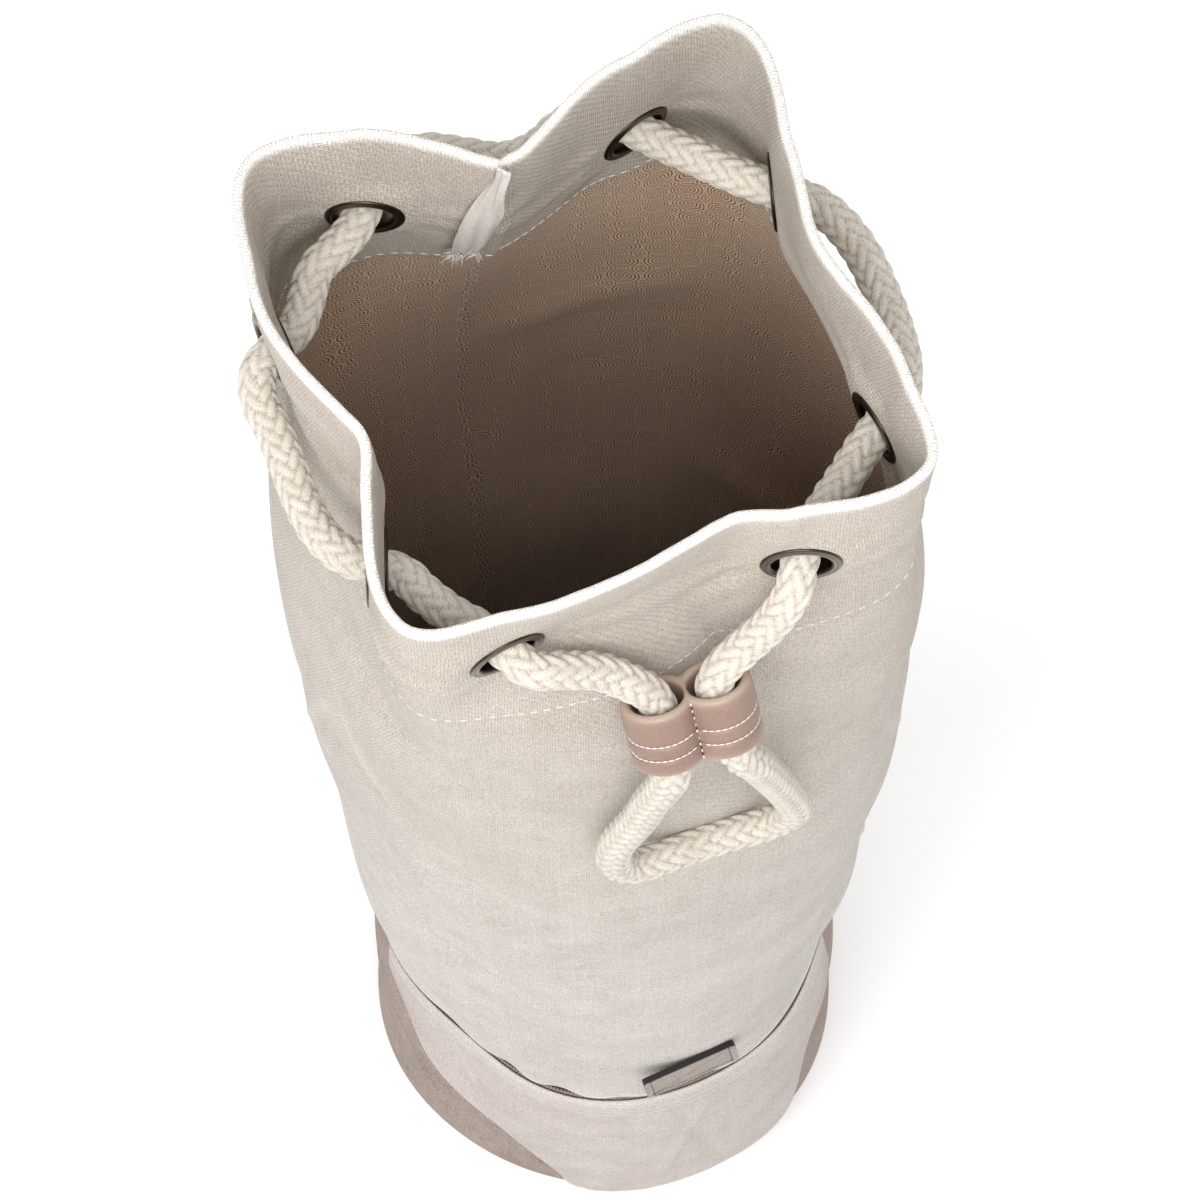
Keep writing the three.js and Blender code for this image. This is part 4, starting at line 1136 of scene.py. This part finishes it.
def bead_piece(fields, name, material, tint=0.0):
    """One piece from several fields of beads."""
    points, faces, start = [], [], 0
    for places, numbers in fields:
        faces += [[index + start for index in face] for face in numbers]
        points.append(places)
        start += len(places)
    bm = bmesh.new()
    mesh = bpy.data.meshes.new(name + "_beads")
    mesh.from_pydata(np.concatenate(points).tolist(), [], faces)
    bm.from_mesh(mesh)
    bpy.data.meshes.remove(mesh)
    tint_verts(bm, lambda co: tint)
    bmesh.ops.recalc_face_normals(bm, faces=bm.faces)
    return finish_piece(bm, name, material)


def tint_verts(bm, value_of):
    layer = bm.verts.layers.float.get("tint") or bm.verts.layers.float.new("tint")
    for vert in bm.verts:
        vert[layer] = value_of(vert.co)


tape_bm = closed_ends(lay_sheet(*lay_profile(tape_rows(), ZIP_TURNS, closed=False)))
tape = finish_piece(tape_bm, "zip_tape", nylon)
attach(tape, "root")
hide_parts("zip")

coil_count = round(math.radians(ZIP_TO - ZIP_FROM) * MEAN_RADIUS / COIL_PITCH)
coil_turns = np.linspace(ZIP_FROM + 0.5, ZIP_TO - 0.5, coil_count)
coil_fields = []
for side in (-1, 1):
    height = BAND_HEIGHT + GAP + COIL_RISE + side * COIL_HALF
    frames = wall_frames(coil_turns + side * COIL_STAGGER, height, COIL_DEPTH)
    coil_fields.append(lay_beads(*frames, COIL_SIZE, side * COIL_TILT))
coil = bead_piece(coil_fields, "zip_coil", nylon, 0.6)
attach(coil, "root")

# %% [markdown]
# An eyelet is turned metal: a barrel through the hem whose ends roll over into a flange on each side, and
# a second lip where the outer half grips the washer. One profile, spun about the eyelet's axis, makes it.

# %% The eyelets
SPIN_STEPS = 48
# The outer half of the profile, from the barrel's middle out: radius and height above the hem's middle.
EYELET_PROFILE = [
    (6.5, 0.0), (6.5, 1.35), (6.58, 1.9), (6.85, 2.3), (7.25, 2.5), (7.65, 2.38), (7.85, 2.2), (8.05, 2.32),
    (8.4, 2.36), (8.8, 2.2), (9.05, 1.9), (8.95, 1.72), (8.4, 1.72), (7.2, 1.72), (7.2, 0.0),
]


def spun(profile, steps=SPIN_STEPS):
    """A closed ring: the profile's points in the XZ plane, spun once round Z."""
    bm = bmesh.new()
    verts = [bm.verts.new((x, 0, z)) for x, z in profile]
    edges = [bm.edges.new(pair) for pair in zip(verts, verts[1:] + verts[:1])]
    bmesh.ops.spin(
        bm, geom=verts + edges, angle=2 * math.pi, steps=steps, axis=(0, 0, 1), cent=(0, 0, 0), use_merge=True
    )
    bmesh.ops.remove_doubles(bm, verts=bm.verts, dist=WELD)
    bmesh.ops.recalc_face_normals(bm, faces=bm.faces)
    return bm


half = [(r * MM, h * MM) for r, h in EYELET_PROFILE[1:-1]]
eyelet_ring = half + [(r, -h) for r, h in reversed(half)]
for number, (middle, normal) in enumerate(SEATS, start=1):
    bm = spun(eyelet_ring)
    # Painted highlight on the lips of the eyelet's flanges.
    tint_verts(bm, lambda co: 0.45 * math.exp(-(((abs(co.z) - 2.45 * MM) / 0.0002) ** 2)))
    bmesh.ops.transform(bm, matrix=seat_matrix(middle, normal), verts=bm.verts)
    ring = finish_piece(bm, f"eyelet_{number}_metal", gunmetal)
    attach(ring, "root")
    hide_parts(f"eyelet_{number}")

# %% [markdown]
# The slider is two loops of leather side by side, pinched together by a line of stitches between them. One
# barrel is a thick ring spun from a section with rounded edges. It is cut off where the two meet and
# mirrored, so that both barrels are one piece.

# %% The slider's leather
SLIDER_LENGTH = 16.5 * MM
SLIDER_LEATHER = 2.4 * MM
SLIDER_BORE = 6 * MM
SLIDER_PINCH = 10.5 * MM
SLIDER_PLACE = Vector((19.2, -69.9, 585)) * MM
SLIDER_BACK, SLIDER_LEFT, SLIDER_TURNED = 37, 3, 15
BARREL_RADIUS = SLIDER_BORE + SLIDER_LEATHER
BARREL_SIDE = math.sqrt(BARREL_RADIUS**2 - (SLIDER_PINCH / 2) ** 2)
EDGE_SOFT = 1.0 * MM
BARREL_CROWN = 0.2 * MM
GROOVES = (0.52, 0.28)
GROOVE_DEPTH = 0.45 * MM
GROOVE_WIDTH = 0.035

slider_turn = (
    Matrix.Rotation(math.radians(SLIDER_TURNED), 4, "Z")
    @ Matrix.Rotation(math.radians(-SLIDER_BACK), 4, "X")
    @ Matrix.Rotation(math.radians(-SLIDER_LEFT), 4, "Y")
)
slider_matrix = Matrix.Translation(SLIDER_PLACE) @ slider_turn


def round_corner(across, up, start):
    """A quarter turn of the leather's soft edge, clockwise from the start, round that middle."""
    angles = np.linspace(start, start - math.pi / 2, 6)
    return [(across + EDGE_SOFT * math.cos(angle), up + EDGE_SOFT * math.sin(angle)) for angle in angles]


def barrel_section():
    """The leather's section, from the bore round the top edge to the outside, with its two stitch grooves."""
    top = SLIDER_LENGTH / 2
    near, far, high = SLIDER_BORE + EDGE_SOFT, BARREL_RADIUS - EDGE_SOFT, top - EDGE_SOFT
    points = [(SLIDER_BORE, z) for z in np.linspace(-high, high, 9)]
    points += round_corner(near, high, math.pi)[1:] + round_corner(far, high, math.pi / 2)[1:]
    for z in np.linspace(high, -high, 40)[1:-1]:
        share = (z + top) / SLIDER_LENGTH
        dip = sum(GROOVE_DEPTH * math.exp(-(((share - groove) / GROOVE_WIDTH) ** 2)) for groove in GROOVES)
        points.append((BARREL_RADIUS + BARREL_CROWN * math.sin(math.pi * share) - dip, z))
    points += round_corner(far, -high, 0)[:-1] + round_corner(near, -high, -math.pi / 2)[:-1]
    return points


def slider_leather():
    bm = spun(barrel_section(), 72)
    bmesh.ops.translate(bm, vec=(-BARREL_SIDE, 0, 0), verts=bm.verts)
    everything = bm.verts[:] + bm.edges[:] + bm.faces[:]
    bmesh.ops.bisect_plane(
        bm, geom=everything, plane_co=(0, 0, 0), plane_no=(1, 0, 0), clear_outer=True, dist=WELD
    )
    everything = bm.verts[:] + bm.edges[:] + bm.faces[:]
    bmesh.ops.mirror(bm, geom=everything, matrix=Matrix.Identity(4), merge_dist=0.01 * MM, axis="X")
    bmesh.ops.recalc_face_normals(bm, faces=bm.faces)
    # Painted highlight: the tint pales the leather along both ends of the barrels.
    tint_verts(bm, lambda co: 0.75 * math.exp(-(SLIDER_LENGTH / 2 - abs(co.z)) / (0.7 * MM)))
    return bm


slider_bm = slider_leather()
bmesh.ops.transform(slider_bm, matrix=slider_matrix, verts=slider_bm.verts)
slider = finish_piece(slider_bm, "slider_leather", leather)
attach(slider, "root")
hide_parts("slider")

# %% [markdown]
# Two rows of fine stitches lie in the slider's grooves. Down the pinch, in front and behind, a row of needle
# holes, dark beads of painted shade, alternates with short pale stitches. Each is a bead drawn out along its
# seam.

# %% The slider's stitches
GROOVE_STITCH = (0.86 * MM, 0.17 * MM, 0.17 * MM)
GROOVE_STITCHES = 34
PINCH_HOLES = 8


def in_slider(places, directions=False):
    """Places, or directions, from the slider's own frame to where it hangs."""
    turned = places @ np.array(slider_turn.to_3x3()).T
    return turned if directions else turned + np.array(SLIDER_PLACE)


def groove_stitches(side, height):
    angle = np.radians(np.linspace(0, 360, GROOVE_STITCHES, endpoint=False))
    spoke = np.stack([np.cos(angle), np.sin(angle), np.zeros(len(angle))], axis=1)
    middle = spoke * (BARREL_RADIUS - 0.12 * MM) + (side * BARREL_SIDE, 0, height)
    seen = middle[:, 0] * side > 0.5 * MM
    spoke, middle = spoke[seen], middle[seen]
    along = np.stack([-spoke[:, 1], spoke[:, 0], np.zeros(len(spoke))], axis=1)
    across = np.broadcast_to((0.0, 0.0, 1.0), along.shape)
    return lay_beads(in_slider(middle), *(in_slider(v, True) for v in (along, across, spoke)), GROOVE_STITCH)


def pinch_row(front, heights, size):
    middle = np.array([(0, front * (SLIDER_PINCH / 2 + 0.1 * MM), height) for height in heights])
    directions = [(0.0, 0.0, 1.0), (1.0, 0.0, 0.0), (0.0, front, 0.0)]
    turned = [in_slider(np.broadcast_to(direction, middle.shape), True) for direction in directions]
    return lay_beads(in_slider(middle), *turned, size)


step = SLIDER_LENGTH * 0.9 / PINCH_HOLES
hole_heights = (np.arange(PINCH_HOLES) - (PINCH_HOLES - 1) / 2) * step
pale_heights = (np.arange(PINCH_HOLES + 1) - PINCH_HOLES / 2) * step
pale = [groove_stitches(side, (share - 0.5) * SLIDER_LENGTH) for side in (-1, 1) for share in GROOVES]
pale += [pinch_row(front, pale_heights, (0.42 * MM, 0.28 * MM, 0.3 * MM)) for front in (-1.0, 1.0)]
# Painted shade: the needle holes are dark beads.
dark = [pinch_row(front, hole_heights, (0.5 * MM, 0.4 * MM, 0.3 * MM)) for front in (-1.0, 1.0)]
slider_thread = bead_piece(pale, "slider_stitches", thread, 0.7)
slider_hole_shade = bead_piece(dark, "slider_needle_hole_shade", needle_hole_shade)
for piece in (slider_thread, slider_hole_shade):
    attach(piece, "root")

# %% [markdown]
# The plate is a small bare metal plate above the zip. Its front is brushed, and its sides are coloured
# near-black as a painted dark reflection. It starts as a cube scaled to size, its corners are bevelled, and
# an inset draws the border of its face.

# %% The plate
PLATE_SIZE = (31 * MM, 14 * MM, 2.2 * MM)
PLATE_TURN = -68.5
PLATE_ABOVE_ZIP = 27 * MM
PLATE_SEAT = 1.3 * MM
PLATE_SCORE = 13.2 * MM
SCORE_WIDTH = 0.2 * MM
PLATE_LEAN, PLATE_TURNED, PLATE_ROLL = 8, 4, 4


def brushed_material():
    material = grained_material(
        "brushed_metal", srgb(118, 108, 100), srgb(172, 161, 152), srgb(30, 27, 25), 0.4, 300.0, 1500.0, 0.1,
        metallic=0.7
    )
    tree = material.node_tree
    place = node(tree, "ShaderNodeTexCoord").outputs["Object"]
    streaks = vectors(tree, "MULTIPLY", place, (60, 60, 5000))
    noise = node(tree, "ShaderNodeTexNoise", {}, Vector=streaks, Scale=1.0, Detail=3.0).outputs["Fac"]
    bump = node(tree, "ShaderNodeBump", {}, Strength=0.3, Distance=0.0001, Height=noise)
    shader = tree.nodes["Principled BSDF"]
    tree.links.new(bump.outputs[0], shader.inputs["Normal"])
    run = node(tree, "ShaderNodeUVMap", {"uv_map": "cloth"}).outputs["UV"]
    from_middle = maths(tree, "ABSOLUTE", node(tree, "ShaderNodeSeparateXYZ", i0=run).outputs[0])
    scored = maths(tree, "COMPARE", from_middle, PLATE_SCORE, SCORE_WIDTH)
    plain = shader.inputs["Base Color"].links[0].from_socket
    tree.links.new(blend_colours(tree, scored, plain, srgb(60, 54, 50)), shader.inputs["Base Color"])
    return material


def plate_mesh():
    bm = bmesh.new()
    bmesh.ops.create_cube(bm, size=1, matrix=Matrix.Diagonal((*PLATE_SIZE, 1)))
    upright = [edge for edge in bm.edges if abs((edge.verts[0].co - edge.verts[1].co).normalized().z) > 0.9]
    bmesh.ops.bevel(bm, geom=upright, offset=1.2 * MM, affect="EDGES", segments=4, profile=0.5, material=-1)
    front = max(bm.faces, key=lambda face: face.calc_center_median().z)
    rim = list(front.edges)
    bmesh.ops.bevel(bm, geom=rim, offset=0.35 * MM, affect="EDGES", segments=3, profile=0.5, material=-1)
    front = max(bm.faces, key=lambda face: face.calc_center_median().z)
    bmesh.ops.inset_region(bm, faces=[front], thickness=1.1 * MM, depth=0)
    bmesh.ops.inset_region(bm, faces=[front], thickness=0.25 * MM, depth=-0.18 * MM)
    bmesh.ops.recalc_face_normals(bm, faces=bm.faces)
    tint_verts(bm, lambda co: 0.0)
    cloth_map = bm.loops.layers.uv.new("cloth")
    for face in bm.faces:
        # Faces that don't face out take the second finish, the painted dark reflection.
        face.material_index = int(face.normal.z < 0.7)
        for loop in face.loops:
            loop[cloth_map].uv = loop.vert.co.xy
    return bm


def plate_matrix():
    """The plate's own frame, with X along it, Y up and Z out, leaning back and a little askew."""
    height = BAND_HEIGHT + 2 * GAP + ZIP_WIDTH + PLATE_ABOVE_ZIP + PLATE_SIZE[1] / 2
    sides = outer(np.array([PLATE_TURN - 1, PLATE_TURN, PLATE_TURN + 1]), np.full(3, height), False)
    along = Vector(sides[2] - sides[0])
    heading = math.atan2(along.y, along.x)
    facing = Vector((math.sin(heading), -math.cos(heading), 0))
    return (
        Matrix.Translation(Vector(sides[1]) + facing * PLATE_SEAT)
        @ Matrix.Rotation(heading, 4, "Z")
        @ Matrix.Rotation(math.radians(90), 4, "X")
        @ Matrix.Rotation(math.radians(PLATE_TURNED), 4, "Y")
        @ Matrix.Rotation(math.radians(-PLATE_LEAN), 4, "X")
        @ Matrix.Rotation(math.radians(PLATE_ROLL), 4, "Z")
        @ Matrix.Translation((0, 0, PLATE_SIZE[2] / 2))
    )


plate_bm = plate_mesh()
bmesh.ops.transform(plate_bm, matrix=plate_matrix(), verts=plate_bm.verts)
plate = finish_piece(plate_bm, "plate_metal", brushed_material(), smooth=False)
plate.data.materials.append(plate_reflection_paint)
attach(plate, "root")
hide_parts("plate")

# %% [markdown]
# At the back, where the bag's seam meets the rim, a strip of white cotton tape hangs down inside. It is
# narrow and twisted at the rim, opens out below and ends in a frayed edge of loose threads.

# %% The tape at the seam
TAPE_CLOTH = 0.9 * MM
TAPE_LENGTH = 52 * MM
TAPE_GIRTH = 20 * MM
TAPE_ROWS, TAPE_COLUMNS = 90, 28
FRAY_COUNT = 60
FRAY_ROUND = 0.17 * MM
# Columns: share down, then x, y, z and half width in millimetres, twist in degrees.
TAPE_LINE = np.array([
    (0, -21.6, 33.4, 648.6, 1.8, 30), (0.15, -22.8, 33.0, 641, 2.3, 60), (0.35, -25.0, 33.2, 630, 3.4, 32),
    (0.6, -28.0, 33.8, 617, 3.9, 8), (0.85, -30.4, 35.2, 604, 3.9, -4), (1, -31.6, 36.4, 597, 3.0, -8),
])


def tape_places():
    """Rings of places round the tape, from the rim down to the frayed edge."""
    share = np.linspace(0, 1, TAPE_ROWS)
    middle = np.stack([between(TAPE_LINE, column, share) for column in (1, 2, 3)], axis=1) * MM
    half_width = between(TAPE_LINE, 4, share)[:, None, None] * MM
    twist = np.radians(between(TAPE_LINE, 5, share))[:, None]
    down = unit(np.gradient(middle, axis=0))
    right = unit(np.cross((0.0, 1.0, 0.0), down))
    out = np.cross(down, right)
    turned_right = (right * np.cos(twist) + out * np.sin(twist))[:, None]
    turned_out = (out * np.cos(twist) - right * np.sin(twist))[:, None]
    angle = np.linspace(0, 2 * np.pi, TAPE_COLUMNS + 1)[None, :, None]
    fold = 0.5 * MM * np.sin(7 * np.cos(angle) + 4 * share[:, None, None])
    fold = fold * np.clip(half_width / (3 * MM), 0, 1)
    thick = np.sin(angle) * TAPE_CLOTH / 2
    return middle[:, None] + turned_right * half_width * np.cos(angle) + turned_out * (thick + fold), down[-1]


tab, tape_end = tape_places()
tab_run = np.linspace(0, TAPE_LENGTH, TAPE_ROWS)
tab_around = np.linspace(0, TAPE_GIRTH, TAPE_COLUMNS + 1)
tab_map = np.stack(np.broadcast_arrays(tab_around[None, :], tab_run[:, None]), axis=2)
tab_piece = finish_piece(closed_ends(lay_sheet(tab, tab_map)), "seam_tape", tape_cotton)
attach(tab_piece, "root")
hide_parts("seam_tab")


def fray_threads():
    """Loose threads that lean out from the tape's lower edge."""
    fray = np.random.default_rng(11)
    starts = tab[-1, fray.integers(0, TAPE_COLUMNS, FRAY_COUNT)]
    right, out = np.array((1.0, 0.0, 0.0)), np.array((0.0, 1.0, 0.0))
    lean = fray.uniform((-0.75, -0.35), (0.35, 0.1), (FRAY_COUNT, 2))
    along = unit(tape_end + right * lean[:, :1] + out * lean[:, 1:])
    side = unit(np.cross(along, out))
    length = fray.uniform(2, 7, (FRAY_COUNT, 1)) * MM
    size = np.concatenate([length / 2 + 0.5 * MM, np.full((FRAY_COUNT, 2), FRAY_ROUND)], axis=1)
    return lay_beads(starts + along * length / 2, along, side, np.cross(along, side), size, sides=(6, 6))


fray_piece = bead_piece([fray_threads()], "seam_tape_threads", tape_cotton)
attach(fray_piece, "root")

# %% [markdown]
# Rows of stitches hold the cloth together: one round the hem, two under the zip on the pocket's panel,
# two beside the seam at the back, and one round the band. They are all the same small bead, laid at even
# steps along a line on the wall.

# %% Rows of stitches
STITCH_STEP = 3 * MM
STITCH_SIZE = (1.15 * MM, 0.22 * MM, 0.2 * MM)


def stitch_row(turns, heights, depth, upright=False):
    middle, right, up, out = wall_frames(turns, heights, depth)
    along, across = (up, right) if upright else (right, up)
    return lay_beads(middle, along, across, out, STITCH_SIZE)


def even_turns(start, end):
    return np.linspace(start, end, round(abs(math.radians(end - start)) * MEAN_RADIUS / STITCH_STEP) + 1)


heights = np.arange(BAND_HEIGHT + 6 * MM, HEM_FOOT, STITCH_STEP)
rows = [stitch_row(even_turns(-180, 180)[1:], HEM_FOOT + 3 * MM, depth) for depth in (0, HEM_THICKNESS)]
rows += [stitch_row(SEAM_TURN + side, heights, 0, upright=True) for side in (-3.4, 3.4)]
rows.append(stitch_row(even_turns(ZIP_TO + 4, SEAM_TURN - 1), BAND_HEIGHT + 3.5 * MM, 0))
rows.append(stitch_row(even_turns(SEAM_TURN + 1, 360 + ZIP_FROM - 4), BAND_HEIGHT + 3.5 * MM, 0))
body_thread = bead_piece(rows, "canvas_stitches", thread, 0.2)
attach(body_thread, "root")

across = np.linspace(0.02, 0.98, 130)
rows = [stitch_row(*panel_face(across, share)) for share in (0.955, 0.925)]
panel_thread = bead_piece(rows, "pocket_stitches", thread, 0.0)
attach(panel_thread, "root")

# %% [markdown]
# The studio: a pale floor that runs far out, even white light from all round, and three soft suns. The
# first comes from the upper left and shapes the folds, the second from overhead reaches down inside the
# bag, and the third, from behind, lifts the far edges. Suns light the whole floor alike, so it stays pale.
# A small panel near the viewer brightens the mouth, as a photographer's card would.

# %% The floor and the light
floor_bm = bmesh.new()
bmesh.ops.create_grid(floor_bm, x_segments=1, y_segments=1, size=6)
floor_material, _, floor_shader = plain_material("floor", 0.9, specular=0.1)
floor_shader.inputs["Base Color"].default_value = (0.97, 0.97, 0.97, 1)
floor = finish_piece(floor_bm, "floor", floor_material)

world = bpy.data.worlds.new("studio")
bpy.context.scene.world = world
world.use_nodes = True
world.node_tree.nodes["Background"].inputs["Color"].default_value = (1, 1, 1, 1)
world.node_tree.nodes["Background"].inputs["Strength"].default_value = 0.69
bpy.context.scene.view_settings.view_transform = "Standard"


def soft_sun(name, direction, softness, strength):
    """Even light from far off, from that direction, as soft as a source that many degrees wide."""
    light = bpy.data.objects.new(name, bpy.data.lights.new(name, "SUN"))
    bpy.context.collection.objects.link(light)
    light.rotation_euler = Vector(direction).to_track_quat("Z", "Y").to_euler()
    light.data.angle = math.radians(softness)
    light.data.energy = strength


soft_sun("key", (-0.85, -0.65, 1.05), 34, 1.15)
soft_sun("overhead", (0.05, -0.3, 1), 14, 0.55)
soft_sun("back", (0.8, 0.9, 0.7), 60, 0.32)

mouth_light = bpy.data.objects.new("mouth", bpy.data.lights.new("mouth", "AREA"))
bpy.context.collection.objects.link(mouth_light)
mouth_light.location = (0, -0.36, 1.05)
mouth_light.rotation_euler = (Vector((0, 0.36, -0.5))).to_track_quat("-Z", "Y").to_euler()
mouth_light.data.size = 0.35
mouth_light.data.energy = 2.6
mouth_light.visible_camera = False
